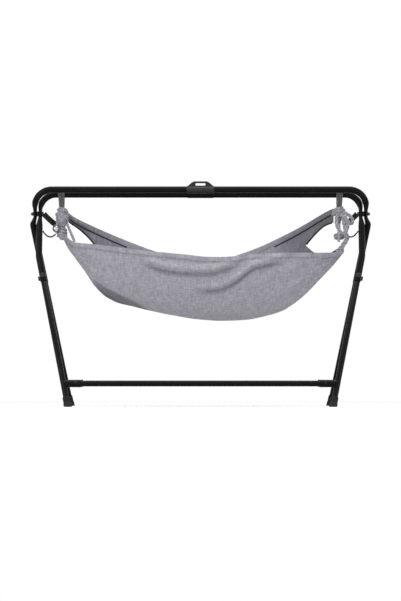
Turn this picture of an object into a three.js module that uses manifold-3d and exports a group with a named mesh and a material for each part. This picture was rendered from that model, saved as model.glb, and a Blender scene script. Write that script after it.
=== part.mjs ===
// Folding stand with a hanging cloth cradle. Millimetres, +Z up, +X to the right, front towards -Y.
// Two bent tube frames cross at a pivot near the top. The cradle hangs from the inner frame's top bar.
import * as THREE from 'three';
import { mergeVertices } from 'three/addons/utils/BufferGeometryUtils.js';
import Module from 'manifold-3d';

const wasm = await Module();
wasm.setup();

// Tubes
const tubeDiameter = 25;
const tubeWall = 1.2;
const legDiameter = 22;
const legWall = 1.2;
const slip = 0.3;
const roundSides = 12;
const spreadDegrees = 16.5;

// Stand heights, measured square to the floor
const pivotHeight = 740;
const innerBarRise = 76;
const outerBarRise = 92;
const innerBarHeight = pivotHeight + innerBarRise;
const outerBarHeight = pivotHeight + outerBarRise;
const barHeightAboveFloor = 88;

// Half widths of the two frames, on the tube's centreline
const innerPivot = 616;
const innerCornerFlare = 2;
const innerWaistFlare = 3;
const footInset = 116;
const frameSpacing = 20;
const cornerFlare = 4;
const outerWaistFlare = 9;
const outerFootInset = 129;
const innerCorner = innerPivot + innerCornerFlare;
const innerWaist = innerPivot + innerWaistFlare;
const innerFoot = innerPivot - footInset;
const outerPivot = innerPivot + frameSpacing;
const outerCorner = outerPivot + cornerFlare;
const outerWaist = outerPivot + outerWaistFlare;
const outerFoot = outerPivot - outerFootInset;
const innerBendRadius = 60;
const outerBendRadius = 66;
const easeRadius = 36;

// Places down the leg, measured along the frame from the pivot
const notchDrop = 14;
const waistDrop = 44;
const outerWaistDrop = 40;
const innerKneeDrop = 172;
const tubeEndDrop = 273;
const legTopDrop = 226;
const knobDrop = 254;

// Pivot
const pivotFlatWidth = 15;
const pivotFlatDepth = 30.6;
const pivotFlatReach = 13;
const pivotEaseReach = 50;
const boltDiameter = 8;
const boltHeadDiameter = 17;
const boltHeadHeight = 6;
const nutDiameter = 15;
const nutHeight = 9;
const spacerDiameter = 20;

// Knobs that lock the legs in the tubes
const knobDiameter = 20;
const knobHeight = 11;
const knobLobes = 6;
const knobLobeDepth = 1.6;
const studDiameter = 5;

// Crossbar and its sockets
const socketDiameter = 28;
const socketLength = 66;
const screwDiameter = 4;
const screwHeadDiameter = 8;
const screwHeadHeight = 2.6;
const screwInset = 20;

// Feet
const footDiameter = 31;
const footHeight = 40;
const footSkirtDiameter = 27;

// Sleeve and clip at the middle of the top bars
const sleeveLength = 100;
const sleeveDiameter = 28;
const clipLength = 106;
const clipDiameter = 29.6;
const clipArchRise = 31;
const clipArchTop = 44;
const clipArchDepth = 10;
const clipWindowLength = 30;
const clipWindowHeight = 8;
const clipBridge = 8.5;

// Cradle cloth, measured from the middle of the stand and up from the floor
const knotInset = 84;
const knotReach = innerCorner - knotInset;
const hangDrop = 140;
const gatherHeight = innerBarHeight - hangDrop;
const clothWidth = 330;
const clothThickness = 4;
const clothDepth = 348;
const nearRimDrop = 103;
const farRimDrop = 100;
const clothBottom = gatherHeight - clothDepth;
const nearRim = gatherHeight - nearRimDrop;
const nearRimRise = 40;
const nearRimLift = 55;
const farRim = gatherHeight - farRimDrop;
const farEndRise = 74;
const farRimEnd = gatherHeight + farEndRise;
const farEndSlant = 6;
const gatherRise = 22;
const gatherWidth = 20;
const foldDepth = 5;
const foldCount = 7;
const clothStations = 25;
const clothPoints = 17;

// The opening in the far side at each end, below the band that goes up to the loops. Each corner is given
// as its distance out from the knot and its height over the gathered end.
const endOpening = [[-136, -80], [-50, 48], [6, 48], [6, 0], [-22, -4], [-64, -58]];

// Knots, hanging loops, tails, stays
const knotRadius = 25;
const knotHeight = 104;
const knotLift = 24;
const loopWidth = 9;
const loopThickness = 3;
const loopSpacing = 13;
const loopClearance = 0.8;
const tailDiameter = 9;
const tailLength = 74;
const strapWidth = 22;
const strapThickness = 3;
const stayGap = 3;
const cordDiameter = 4;
const cordSag = 16;
const cordDrop = 70;

const overrun = 20;
const spread = THREE.MathUtils.degToRad(spreadDegrees);
const along = (height) => (height - pivotHeight) / Math.cos(spread);
const lerp = THREE.MathUtils.lerp;
const smooth = THREE.MathUtils.smoothstep;

// Finishes
const blackPaint = new THREE.MeshStandardMaterial({ color: 0x0b0b0d, roughness: 0.28, metalness: 0.4 });
const blackPlastic = new THREE.MeshStandardMaterial({ color: 0x111113, roughness: 0.5, metalness: 0 });
const blackRubber = new THREE.MeshStandardMaterial({ color: 0x0e0e0f, roughness: 0.8, metalness: 0 });
const darkSteel = new THREE.MeshStandardMaterial({ color: 0x2a2a2d, roughness: 0.35, metalness: 0.9 });
const greyCloth = new THREE.MeshStandardMaterial({ color: 0xa3a2ab, roughness: 0.95, metalness: 0 });
const greyRope = new THREE.MeshStandardMaterial({ color: 0xb4b3bb, roughness: 0.9, metalness: 0 });
const blackWebbing = new THREE.MeshStandardMaterial({ color: 0x121213, roughness: 0.9, metalness: 0 });

const group = new THREE.Group();
const innerFrame = new THREE.Group();
const outerFrame = new THREE.Group();
for (const [frame, lean] of [[innerFrame, -spread], [outerFrame, spread]]) {
  frame.position.z = pivotHeight;
  frame.rotation.x = lean;
  frame.updateMatrix();
  group.add(frame);
}

function place(parent, name, geometry, material) {
  const mesh = new THREE.Mesh(geometry, material);
  mesh.name = name;
  parent.add(mesh);
  return mesh;
}

// A closed geometry from points and triangles, turned so that its faces point outwards.
function closedGeometry(points, triangles) {
  let volume = 0;
  for (const [a, b, c] of triangles) {
    volume += points[a].dot(new THREE.Vector3().crossVectors(points[b], points[c]));
  }
  const faces = volume < 0 ? triangles.map(([a, b, c]) => [a, c, b]) : triangles;
  const geometry = new THREE.BufferGeometry();
  geometry.setAttribute('position', new THREE.Float32BufferAttribute(points.flatMap((p) => p.toArray()), 3));
  geometry.setIndex(faces.flat());
  geometry.computeVertexNormals();
  return geometry;
}

// Joins rings of equal count into a solid with a fan at each end.
function loft(rings) {
  const count = rings[0].length;
  const points = rings.flat();
  const triangles = [];
  for (let i = 0; i + 1 < rings.length; i += 1) {
    for (let j = 0; j < count; j += 1) {
      const next = (j + 1) % count;
      const a = i * count + j;
      const b = i * count + next;
      triangles.push([a, b, b + count], [a, b + count, a + count]);
    }
  }
  const last = (rings.length - 1) * count;
  for (const [start, order] of [[0, -1], [last, 1]]) {
    const middle = new THREE.Vector3();
    for (let j = 0; j < count; j += 1) middle.addScaledVector(points[start + j], 1 / count);
    const hub = points.length;
    points.push(middle);
    for (let j = 0; j < count; j += 1) {
      const pair = [start + j, start + (j + 1) % count];
      triangles.push(order > 0 ? [pair[0], pair[1], hub] : [pair[1], pair[0], hub]);
    }
  }
  return closedGeometry(points, triangles);
}

// A ring of points round a place on a path; half sizes lie across and along the frame's normal.
function ringAt(centre, tangent, normal, halfWidth, halfDepth, sides) {
  const across = new THREE.Vector3().crossVectors(tangent, normal).normalize();
  const ring = [];
  for (let j = 0; j < sides; j += 1) {
    const turn = (2 * Math.PI * (j + 0.5)) / sides;
    ring.push(centre.clone()
      .addScaledVector(across, halfWidth * Math.cos(turn))
      .addScaledVector(normal, halfDepth * Math.sin(turn)));
  }
  return ring;
}

function tangents(path) {
  return path.map((point, i) => {
    const before = path[Math.max(i - 1, 0)];
    const after = path[Math.min(i + 1, path.length - 1)];
    return after.clone().sub(before).normalize();
  });
}

function sweep(path, normal, sizeAt, sides) {
  const directions = tangents(path);
  const rings = path.map((point, i) => {
    const [halfWidth, halfDepth] = sizeAt(point, i);
    return ringAt(point, directions[i], normal, halfWidth, halfDepth, sides);
  });
  return loft(rings);
}

// A path through corners, each rounded with its own radius. Corners lie in the plane y = 0.
function roundedPath(corners, radii, arcSteps) {
  const path = [corners[0].clone()];
  for (let i = 1; i + 1 < corners.length; i += 1) {
    const corner = corners[i];
    const into = corners[i - 1].clone().sub(corner).normalize();
    const out = corners[i + 1].clone().sub(corner).normalize();
    const half = into.angleTo(out) / 2;
    const reach = radii[i - 1] / Math.tan(half);
    const centre = corner.clone()
      .add(into.clone().add(out).normalize().multiplyScalar(radii[i - 1] / Math.sin(half)));
    const from = corner.clone().addScaledVector(into, reach).sub(centre);
    const to = corner.clone().addScaledVector(out, reach).sub(centre);
    const sweepAngle = from.angleTo(to);
    const steps = Math.max(2, Math.ceil((sweepAngle / (Math.PI / 2)) * arcSteps));
    for (let s = 0; s <= steps; s += 1) {
      const share = s / steps;
      const a = Math.sin((1 - share) * sweepAngle) / Math.sin(sweepAngle);
      const b = Math.sin(share * sweepAngle) / Math.sin(sweepAngle);
      path.push(centre.clone().addScaledVector(from, a).addScaledVector(to, b));
    }
  }
  path.push(corners[corners.length - 1].clone());
  return path;
}

function toManifold(geometry) {
  const bare = geometry.clone();
  bare.deleteAttribute('normal');
  bare.deleteAttribute('uv');
  const merged = mergeVertices(bare);
  return new wasm.Manifold(new wasm.Mesh({
    numProp: 3,
    vertProperties: new Float32Array(merged.attributes.position.array),
    triVerts: new Uint32Array(merged.index.array),
  }));
}

function fromManifold(solid) {
  const mesh = solid.getMesh();
  const geometry = new THREE.BufferGeometry();
  geometry.setAttribute('position', new THREE.BufferAttribute(mesh.vertProperties, 3));
  geometry.setIndex(new THREE.BufferAttribute(mesh.triVerts, 1));
  geometry.computeVertexNormals();
  return geometry;
}

const cut = (geometry, ...tools) => {
  let solid = toManifold(geometry);
  for (const tool of tools) solid = solid.subtract(toManifold(tool));
  return fromManifold(solid);
};

const join = (first, ...rest) => {
  let solid = toManifold(first);
  for (const piece of rest) solid = solid.add(toManifold(piece));
  return fromManifold(solid);
};

// A turned solid whose axis runs from one point towards another. The profile is [radius, distance] pairs.
function turned(profile, from, towards, sides = roundSides) {
  const geometry = new THREE.LatheGeometry(profile.map(([r, d]) => new THREE.Vector2(r, d)), sides);
  const axis = towards.clone().sub(from).normalize();
  geometry.applyQuaternion(new THREE.Quaternion().setFromUnitVectors(new THREE.Vector3(0, 1, 0), axis));
  geometry.translate(from.x, from.y, from.z);
  return geometry;
}

const rod = (radius, start, end, from, towards, sides) => turned(
  [[0, start], [radius, start], [radius, end], [0, end]], from, towards, sides);

const pipe = (inner, outer, start, end, from, towards, sides) => turned(
  [[inner, start], [outer, start], [outer, end], [inner, end], [inner, start]], from, towards, sides);

// Radius of a faceted bore that clears a round of the given radius.
const bored = (radius) => (radius + slip) / Math.cos(Math.PI / roundSides);

const at = (x, z, y = 0) => new THREE.Vector3(x, y, z);
const frameNormal = new THREE.Vector3(0, 1, 0);

// Everything that sets the inner and the outer frame apart.
const innerShape = {
  key: 'inner',
  frame: innerFrame,
  bar: along(innerBarHeight),
  pivotX: innerPivot,
  bend: innerBendRadius,
  upper: (side) => [
    at(side * innerCorner, along(innerBarHeight)),
    at(side * innerPivot, notchDrop),
    at(side * innerPivot, -notchDrop),
    at(side * innerWaist, -waistDrop),
    at(side * innerWaist, -innerKneeDrop),
  ],
  upperRadii: [innerBendRadius, easeRadius / 2, easeRadius / 2, easeRadius / 3, easeRadius * 3],
  kneeX: innerWaist,
  kneeDrop: innerKneeDrop,
  footX: innerFoot,
};
const outerShape = {
  key: 'outer',
  frame: outerFrame,
  bar: along(outerBarHeight),
  pivotX: outerPivot,
  bend: outerBendRadius,
  upper: (side) => [
    at(side * outerCorner, along(outerBarHeight)),
    at(side * outerPivot, notchDrop),
    at(side * outerPivot, -notchDrop),
    at(side * outerWaist, -outerWaistDrop),
  ],
  upperRadii: [outerBendRadius, easeRadius / 2, easeRadius / 2, easeRadius / 3],
  kneeX: outerWaist,
  kneeDrop: outerWaistDrop,
  footX: outerFoot,
};

const floorDrop = pivotHeight / Math.cos(spread);
const tubeRadius = tubeDiameter / 2;
const legRadius = legDiameter / 2;

// Centre of the leg, on its straight run, at a drop below the pivot.
function legPoint(shape, side, drop) {
  const share = (drop - shape.kneeDrop) / (floorDrop - shape.kneeDrop);
  return at(side * lerp(shape.kneeX, shape.footX, share), -drop);
}

function tubePath(shape, side) {
  const corners = [at(side * slip, shape.bar), ...shape.upper(side), legPoint(shape, side, tubeEndDrop)];
  const path = roundedPath(corners, shape.upperRadii, 6);
  const levels = [pivotEaseReach, pivotFlatReach, -pivotFlatReach, -pivotEaseReach];
  const dense = [path[0]];
  for (let i = 1; i < path.length; i += 1) {
    const before = path[i - 1];
    for (const level of levels) {
      if (before.z - slip > level && path[i].z + slip < level) {
        dense.push(before.clone().lerp(path[i], (before.z - level) / (before.z - path[i].z)));
      }
    }
    dense.push(path[i]);
  }
  return dense;
}

// The tube is pressed flat where the pivot bolt goes through it.
function tubeSize(radius) {
  const shrink = tubeRadius - radius;
  return (point) => {
    const flat = 1 - smooth(Math.abs(point.z), pivotFlatReach, pivotEaseReach);
    const round = Math.abs(point.x) > innerFoot ? flat : 0;
    return [
      lerp(radius, pivotFlatWidth / 2 - shrink, round),
      lerp(radius, pivotFlatDepth / 2 - shrink, round),
    ];
  };
}

function addUpperTube(shape, side, name) {
  const path = tubePath(shape, side);
  const bore = path.map((point) => point.clone());
  const directions = tangents(path);
  const end = path.length - 1;
  bore[0].addScaledVector(directions[0], -overrun);
  bore[end].addScaledVector(directions[end], overrun);
  const shell = sweep(path, frameNormal, tubeSize(tubeRadius), roundSides);
  const hollow = sweep(bore, frameNormal, tubeSize(tubeRadius - tubeWall), roundSides);
  const pivot = at(side * shape.pivotX, 0);
  const boltHole = rod(bored(boltDiameter / 2), -overrun, overrun, pivot, pivot.clone().add(at(side, 0)));
  const knob = knobPlace(shape, side);
  const knobHole = rod(bored(studDiameter / 2), 0, overrun, knob.centre, knob.centre.clone().add(knob.axis));
  place(shape.frame, name, cut(shell, hollow, boltHole, knobHole), blackPaint);
}

function addLeg(shape, side, name) {
  const top = legPoint(shape, side, legTopDrop);
  const bottom = legPoint(shape, side, floorDrop - footHeight / 3);
  const length = top.distanceTo(bottom);
  const knob = knobPlace(shape, side);
  const knobHole = rod(bored(studDiameter / 2), 0, overrun, knob.centre, knob.centre.clone().add(knob.axis));
  const leg = pipe(legRadius - legWall, legRadius, 0, length, top, bottom);
  place(shape.frame, name, cut(leg, knobHole), blackPaint);
}

// The outer frame's knobs face outwards. The inner frame's face forwards, clear of the other frame.
function knobPlace(shape, side) {
  const centre = legPoint(shape, side, knobDrop);
  const down = legPoint(shape, side, floorDrop).sub(centre).normalize();
  const outward = new THREE.Vector3(side, 0, 0).addScaledVector(down, -side * down.x).normalize();
  const axis = shape.key === 'outer' ? outward : new THREE.Vector3(0, -1, 0);
  return { centre, axis };
}

function addKnob(shape, side, name) {
  const { centre, axis } = knobPlace(shape, side);
  const start = tubeRadius + slip;
  const collar = studDiameter;
  const profile = [
    [0, legRadius - legWall - slip],
    [studDiameter / 2, legRadius - legWall - slip],
    [studDiameter / 2, start],
    [collar, start],
    [collar, start + knobHeight / 4],
    [knobDiameter / 2 - knobLobeDepth, start + knobHeight / 4],
    [knobDiameter / 2, start + knobHeight / 2],
    [knobDiameter / 2, start + knobHeight - knobLobeDepth],
    [knobDiameter / 2 - knobLobeDepth, start + knobHeight],
    [0, start + knobHeight],
  ];
  const body = turned(profile, new THREE.Vector3(), new THREE.Vector3(0, 1, 0), knobLobes * 3);
  const position = body.attributes.position;
  for (let i = 0; i < position.count; i += 1) {
    const x = position.getX(i);
    const z = position.getZ(i);
    const radius = Math.hypot(x, z);
    if (radius > collar + slip) {
      const wave = Math.cos(Math.atan2(z, x) * knobLobes);
      const scale = (radius + knobLobeDepth * (wave - 1) / 2) / radius;
      position.setX(i, x * scale);
      position.setZ(i, z * scale);
    }
  }
  body.applyQuaternion(new THREE.Quaternion().setFromUnitVectors(new THREE.Vector3(0, 1, 0), axis));
  body.translate(centre.x, centre.y, centre.z);
  place(shape.frame, name, fromManifold(toManifold(body)), blackPlastic);
}

// Crossbar, sockets that saddle the legs, and a screw in each socket.
function addCrossbar(shape) {
  const drop = -along(barHeightAboveFloor);
  const start = legPoint(shape, 1, drop);
  const reach = legPoint(shape, 1, drop + socketDiameter).x - legRadius - slip;
  const height = -drop;
  const bar = pipe(legRadius - legWall, legRadius, -reach, reach, at(0, height), at(reach, height));
  const holes = [];
  for (const [side, word] of [[-1, 'left'], [1, 'right']]) {
    const leg = legPoint(shape, side, drop);
    const inward = at(leg.x - side * reach, height);
    const ring = pipe(bored(legRadius), socketDiameter / 2, 0, socketLength, leg, inward);
    const legCut = rod(bored(legRadius), -socketDiameter, socketDiameter, leg, legPoint(shape, side, floorDrop));
    const screwX = leg.x - side * (socketLength - screwInset);
    const screwAt = at(screwX, height);
    const below = screwAt.clone().sub(new THREE.Vector3(0, 1, 0));
    const hole = rod(bored(screwDiameter / 2), 0, overrun, screwAt, below);
    holes.push(hole);
    place(shape.frame, `${shape.key}_socket_${word}`, cut(ring, legCut, hole), blackPaint);
    const headStart = socketDiameter / 2 + slip;
    const profile = [
      [0, legRadius - 2 * legWall],
      [screwDiameter / 2, legRadius - 2 * legWall],
      [screwDiameter / 2, headStart],
      [screwHeadDiameter / 2, headStart],
      [screwHeadDiameter / 2, headStart + screwHeadHeight / 2],
      [screwHeadDiameter / 4, headStart + screwHeadHeight],
      [0, headStart + screwHeadHeight],
    ];
    place(shape.frame, `${shape.key}_socket_screw_${word}`, turned(profile, screwAt, below), darkSteel);
  }
  place(shape.frame, `${shape.key}_crossbar`, cut(bar, ...holes), blackPaint);
}

// A cap on the leg's end, with a sole cut level with the floor.
function addFoot(shape, side, name) {
  const matrix = shape.frame.matrix;
  const sole = legPoint(shape, side, floorDrop).applyMatrix4(matrix);
  const top = legPoint(shape, side, floorDrop - footHeight).applyMatrix4(matrix);
  const axis = sole.clone().sub(top).normalize();
  const normal = frameNormal.clone().transformDirection(matrix);
  const levels = [
    [0, footSkirtDiameter / 2],
    [footHeight / 8, footSkirtDiameter / 2 + 2 * slip],
    [footHeight / 2, footSkirtDiameter / 2 + 2 * slip],
    [footHeight * 2 / 3, footDiameter / 2],
  ];
  const rings = levels.map(([down, radius]) => ringAt(
    top.clone().addScaledVector(axis, down), axis, normal, radius, radius, roundSides));
  for (const [rise, inset] of [[footHeight / 12, 0], [0, footHeight / 12]]) {
    const radius = footDiameter / 2 - inset;
    const centre = sole.clone().addScaledVector(axis, -rise);
    rings.push(ringAt(centre, axis, normal, radius, radius, roundSides).map((point) => {
      const level = point.clone();
      level.addScaledVector(axis, (centre.z - point.z) / axis.z);
      return level;
    }));
  }
  const cap = loft(rings);
  const legDepth = top.distanceTo(sole) * 2 / 3 + slip;
  const legEnd = rod(bored(legRadius), 0, legDepth, top, sole);
  const mouth = rod(bored(legRadius), -overrun, footHeight / 3, top, sole);
  place(group, name, cut(cap, legEnd, mouth), blackRubber);
}

function addFrame(shape) {
  for (const [side, word] of [[-1, 'left'], [1, 'right']]) {
    addUpperTube(shape, side, `${shape.key}_tube_${word}`);
    addLeg(shape, side, `${shape.key}_leg_${word}`);
    addKnob(shape, side, `${shape.key}_knob_${word}`);
    addFoot(shape, side, `${shape.key}_foot_${word}`);
  }
  addCrossbar(shape);
}

// Sleeve that joins the two halves of the inner bar.
function addSleeve() {
  const bar = at(0, innerShape.bar);
  const ring = pipe(bored(tubeRadius), sleeveDiameter / 2, -sleeveLength / 2, sleeveLength / 2, bar, at(1, bar.z));
  place(innerFrame, 'inner_bar_sleeve', ring, blackPaint);
}

// Moulded clip that joins the halves of the outer bar, with an arched grip above it.
function addClip() {
  const bar = at(0, outerShape.bar);
  const ring = rod(clipDiameter / 2, -clipLength / 2, clipLength / 2, bar, at(1, bar.z));
  const outline = new THREE.Shape();
  const rise = clipArchRise / Math.cos(spread);
  outline.moveTo(-clipLength / 2 + slip, 0);
  outline.lineTo(clipLength / 2 - slip, 0);
  outline.lineTo(clipLength / 2 - slip, clipDiameter / 2);
  outline.quadraticCurveTo(clipArchTop * 3 / 4, rise, clipArchTop / 2, rise);
  outline.lineTo(-clipArchTop / 2, rise);
  outline.quadraticCurveTo(-clipArchTop * 3 / 4, rise, -clipLength / 2 + slip, clipDiameter / 2);
  const window = new THREE.Path();
  const windowTop = rise - clipBridge;
  const windowFoot = windowTop - clipWindowHeight;
  window.moveTo(-clipWindowLength / 2, windowFoot);
  window.lineTo(-clipWindowLength / 2 + slip, windowTop);
  window.lineTo(clipWindowLength / 2 - slip, windowTop);
  window.lineTo(clipWindowLength / 2, windowFoot);
  window.closePath();
  outline.holes.push(window);
  const arch = new THREE.ExtrudeGeometry(outline, { depth: clipArchDepth, bevelEnabled: false, curveSegments: 8 });
  arch.rotateX(Math.PI / 2);
  arch.translate(0, clipArchDepth / 2, outerShape.bar);
  const bore = rod(bored(tubeRadius), -clipLength, clipLength, bar, at(1, bar.z));
  place(outerFrame, 'outer_bar_clip', cut(join(ring, arch), bore), blackPlastic);
}

// Bolt, spacer and cap nut at each side. The bolt's axis is the fold's axis.
function addPivot(side, word) {
  const height = pivotHeight;
  const out = (x) => at(side * x, height);
  const innerFace = innerPivot - pivotFlatWidth / 2;
  const outerFace = outerPivot + pivotFlatWidth / 2;
  const head = [
    [0, -boltHeadHeight],
    [boltHeadDiameter / 4, -boltHeadHeight],
    [boltHeadDiameter / 2, -boltHeadHeight / 3],
    [boltHeadDiameter / 2, -slip],
    [boltDiameter / 2, -slip],
    [boltDiameter / 2, outerFace - innerFace + nutHeight * 2 / 3],
    [0, outerFace - innerFace + nutHeight * 2 / 3],
  ];
  place(group, `pivot_bolt_${word}`, turned(head, out(innerFace), out(outerFace)), darkSteel);
  const gapStart = innerPivot + pivotFlatWidth / 2 + slip;
  const gapEnd = outerPivot - pivotFlatWidth / 2 - slip;
  const ring = pipe(bored(boltDiameter / 2), spacerDiameter / 2, 0, gapEnd - gapStart, out(gapStart), out(gapEnd));
  place(group, `pivot_spacer_${word}`, ring, blackPlastic);
  const nutInner = bored(boltDiameter / 2);
  const nutFloor = nutHeight * 2 / 3 + slip;
  const nut = [
    [0, nutFloor],
    [nutInner, nutFloor],
    [nutInner, slip],
    [nutDiameter / 2, slip],
    [nutDiameter / 2, nutHeight / 2],
    [nutDiameter / 3, nutHeight],
    [0, nutHeight + slip],
  ];
  place(group, `pivot_cap_nut_${word}`, turned(nut, out(outerFace), out(outerFace + nutHeight)), darkSteel);
}

// The knots are a little narrower along the cradle than across it. The loops sit where the bar is straight.
const knotNarrowShare = 0.86;
const knotX = (side) => side * knotReach;
const clothHalfLength = knotReach - knotRadius * knotNarrowShare * 0.95 - slip;
const loopReach = innerCorner - innerBendRadius - loopSpacing;

// Height and depth of the bar that carries the cradle.
const hangHeight = innerBarHeight;
const hangDepth = (innerBarHeight - pivotHeight) * Math.tan(spread);

// The cloth trough. Each station is a curved section from the near rim, under the bottom, to the far rim.
function clothSection(share, offset) {
  const away = Math.abs(share);
  const gather = smooth(away, 0.62, 1);
  const sag = Math.pow(away, 2.6);
  const bottom = lerp(clothBottom, gatherHeight - gatherRise, sag);
  const near = nearRim + nearRimRise * Math.pow(away, 1.3) + nearRimLift * Math.pow(away, 12);
  const far = lerp(farRim, farRimEnd, Math.pow(away, 1.9));
  const halfWidth = lerp(clothWidth, gatherWidth, Math.pow(away, 2.2)) / 2;
  const folds = foldDepth * smooth(away, 0.25, 0.8) * (1 - gather * 0.55);
  const points = [];
  for (let i = 0; i < clothPoints; i += 1) {
    const turn = (i / (clothPoints - 1)) * 2 - 1;
    const angle = turn * Math.PI / 2;
    const rim = turn < 0 ? near : far;
    const wave = folds * Math.cos(turn * Math.PI * foldCount) * (1 - turn * turn);
    const grow = offset + wave;
    const y = (halfWidth + grow) * Math.sin(angle);
    const z = rim - (rim - bottom + grow) * Math.cos(angle);
    const x = share * (clothHalfLength - farEndSlant * Math.max(turn, 0));
    points.push(new THREE.Vector3(x, hangDepth + y, z));
  }
  return points;
}

function addCloth() {
  const rings = [];
  for (let i = 0; i < clothStations; i += 1) {
    const turn = (i / (clothStations - 1)) * 2 - 1;
    const share = Math.sin(turn * Math.PI / 2);
    const outside = clothSection(share, 0);
    const inside = clothSection(share, -clothThickness).reverse();
    rings.push([...outside, ...inside]);
  }
  const openings = [-1, 1].map((side) => {
    const outline = new THREE.Shape(endOpening.map(
      ([x, z]) => new THREE.Vector2(side * (knotReach + x), gatherHeight + z)));
    const opening = new THREE.ExtrudeGeometry(outline, { depth: clothWidth, bevelEnabled: false });
    opening.rotateX(Math.PI / 2);
    opening.translate(0, hangDepth + clothThickness / 2 + clothWidth, 0);
    return opening;
  });
  place(group, 'cradle_cloth', cut(troughLoft(rings), ...openings), greyCloth);
}

// Like loft, but the end faces are strips between the outside and the inside curve.
function troughLoft(rings) {
  const count = rings[0].length;
  const points = rings.flat();
  const triangles = [];
  for (let i = 0; i + 1 < rings.length; i += 1) {
    for (let j = 0; j < count; j += 1) {
      const next = (j + 1) % count;
      const a = i * count + j;
      const b = i * count + next;
      triangles.push([a, b, b + count], [a, b + count, a + count]);
    }
  }
  const half = count / 2;
  for (const [start, order] of [[0, -1], [(rings.length - 1) * count, 1]]) {
    for (let j = 0; j + 1 < half; j += 1) {
      const a = start + j;
      const b = start + j + 1;
      const c = start + count - 2 - j;
      const d = start + count - 1 - j;
      triangles.push(...(order > 0 ? [[a, b, c], [a, c, d]] : [[a, c, b], [a, d, c]]));
    }
  }
  return closedGeometry(points, triangles);
}

// A soft knot at the gathered end, with two swellings where the cloth is wound.
function addKnot(side, word) {
  const centre = new THREE.Vector3(knotX(side), hangDepth, gatherHeight + knotLift);
  const levels = [0, 0.05, 0.16, 0.28, 0.38, 0.54, 0.72, 0.88, 1];
  const sizes = [0.6, 0.93, 0.95, 0.8, 0.74, 0.95, 1, 0.74, 0.36];
  const rings = levels.map((level, i) => ringAt(
    centre.clone().setZ(centre.z + (level - 1 / 2) * knotHeight),
    new THREE.Vector3(0, 0, 1), frameNormal, knotRadius * sizes[i] * knotNarrowShare, knotRadius * sizes[i], 14));
  place(group, `cradle_knot_${word}`, loft(rings), greyRope);
}

// Flat loops that go over the inner bar and down to the knot.
function addHangLoops(side, word) {
  const inside = tubeRadius + loopClearance;
  const knotTop = gatherHeight + knotLift + knotHeight / 2;
  const bottom = knotTop + slip + loopThickness;
  const drop = hangHeight - bottom;
  for (const [number, shift] of [[1, -1 / 2], [2, 1 / 2]]) {
    const outline = new THREE.Shape();
    const hole = new THREE.Path();
    for (const [curve, radius, foot] of [
      [outline, inside + loopThickness, -drop - loopThickness],
      [hole, inside, -drop],
    ]) {
      const toe = radius / 2;
      curve.moveTo(radius, 0);
      curve.absarc(0, 0, radius, 0, Math.PI, false);
      curve.lineTo(-toe, foot + toe / 2);
      curve.quadraticCurveTo(-toe / 2, foot, 0, foot);
      curve.quadraticCurveTo(toe / 2, foot, toe, foot + toe / 2);
      curve.closePath();
    }
    outline.holes.push(hole);
    const loop = new THREE.ExtrudeGeometry(outline, { depth: loopWidth, bevelEnabled: false, curveSegments: 9 });
    loop.rotateX(Math.PI / 2);
    loop.rotateZ(Math.PI / 2);
    const position = loop.attributes.position;
    for (let i = 0; i < position.count; i += 1) {
      const share = Math.max(-position.getZ(i), 0) / drop;
      position.setX(i, position.getX(i) + side * share * (knotReach - loopReach));
    }
    loop.translate(side * loopReach + shift * loopSpacing - loopWidth / 2, hangDepth, hangHeight);
    place(group, `cradle_loop_${word}_${number}`, loop, greyRope);
  }
}

// The knot's loose tail hangs beside the cloth.
function addTail(side, word) {
  const x = knotX(side) - side * knotRadius * 0.3;
  const depth = hangDepth - knotRadius * 0.76 - tailDiameter * 0.35 - slip;
  const top = gatherHeight + knotLift - knotHeight / 5;
  const path = [0, 0.2, 0.45, 0.7, 1].map((share) => new THREE.Vector3(
    x - side * tailLength * 0.42 * share,
    depth - tailDiameter * 0.4 * Math.sin(share * Math.PI / 2),
    top - tailLength * share));
  const size = (point, i) => {
    const half = (tailDiameter / 2) * (i === 0 ? 0.9 : 1);
    return [half, half * 0.7];
  };
  place(group, `cradle_tail_${word}`, sweep(path, frameNormal, size, 8), greyRope);
}

// Black strap from the pivot towards the knot, and a thin cord below it, both held by the inner frame.
function addStays(side, word) {
  const outer = innerPivot - pivotFlatWidth / 2 - boltHeadHeight - slip;
  const inner = knotReach + knotRadius * knotNarrowShare + stayGap;
  const strapPath = [0, 1 / 2, 1].map((share) => new THREE.Vector3(
    side * lerp(outer, inner, share),
    lerp(0, hangDepth, share),
    lerp(pivotHeight - slip, gatherHeight + knotLift, share)));
  const across = new THREE.Vector3(0, 0, 1);
  const ring = (centre) => [[-1, -1], [1, -1], [1, 1], [-1, 1]].map(([a, b]) => centre.clone()
    .addScaledVector(frameNormal, a * strapThickness / 2)
    .addScaledVector(across, b * strapWidth / 2));
  place(group, `stay_strap_${word}`, loft(strapPath.map(ring)), blackWebbing);
  const from = at(side * innerWaist, -cordDrop).applyMatrix4(innerFrame.matrix);
  from.x -= side * (tubeRadius + 4 * slip);
  const to = new THREE.Vector3(side * inner, hangDepth, gatherHeight - knotHeight / 8);
  const path = [];
  for (let i = 0; i <= 8; i += 1) {
    const share = i / 8;
    const point = from.clone().lerp(to, share);
    point.z -= cordSag * 4 * share * (1 - share);
    path.push(point);
  }
  const size = () => [cordDiameter / 2, cordDiameter / 2];
  place(group, `stay_cord_${word}`, sweep(path, frameNormal, size, 8), blackWebbing);
}

addFrame(innerShape);
addFrame(outerShape);
addSleeve();
addClip();
addCloth();
for (const [side, word] of [[-1, 'left'], [1, 'right']]) {
  addPivot(side, word);
  addKnot(side, word);
  addHangLoops(side, word);
  addTail(side, word);
  addStays(side, word);
}

export default group;
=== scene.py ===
import math

import bmesh
import bpy
from mathutils import Matrix, Vector, noise
from mathutils.geometry import tessellate_polygon


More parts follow.
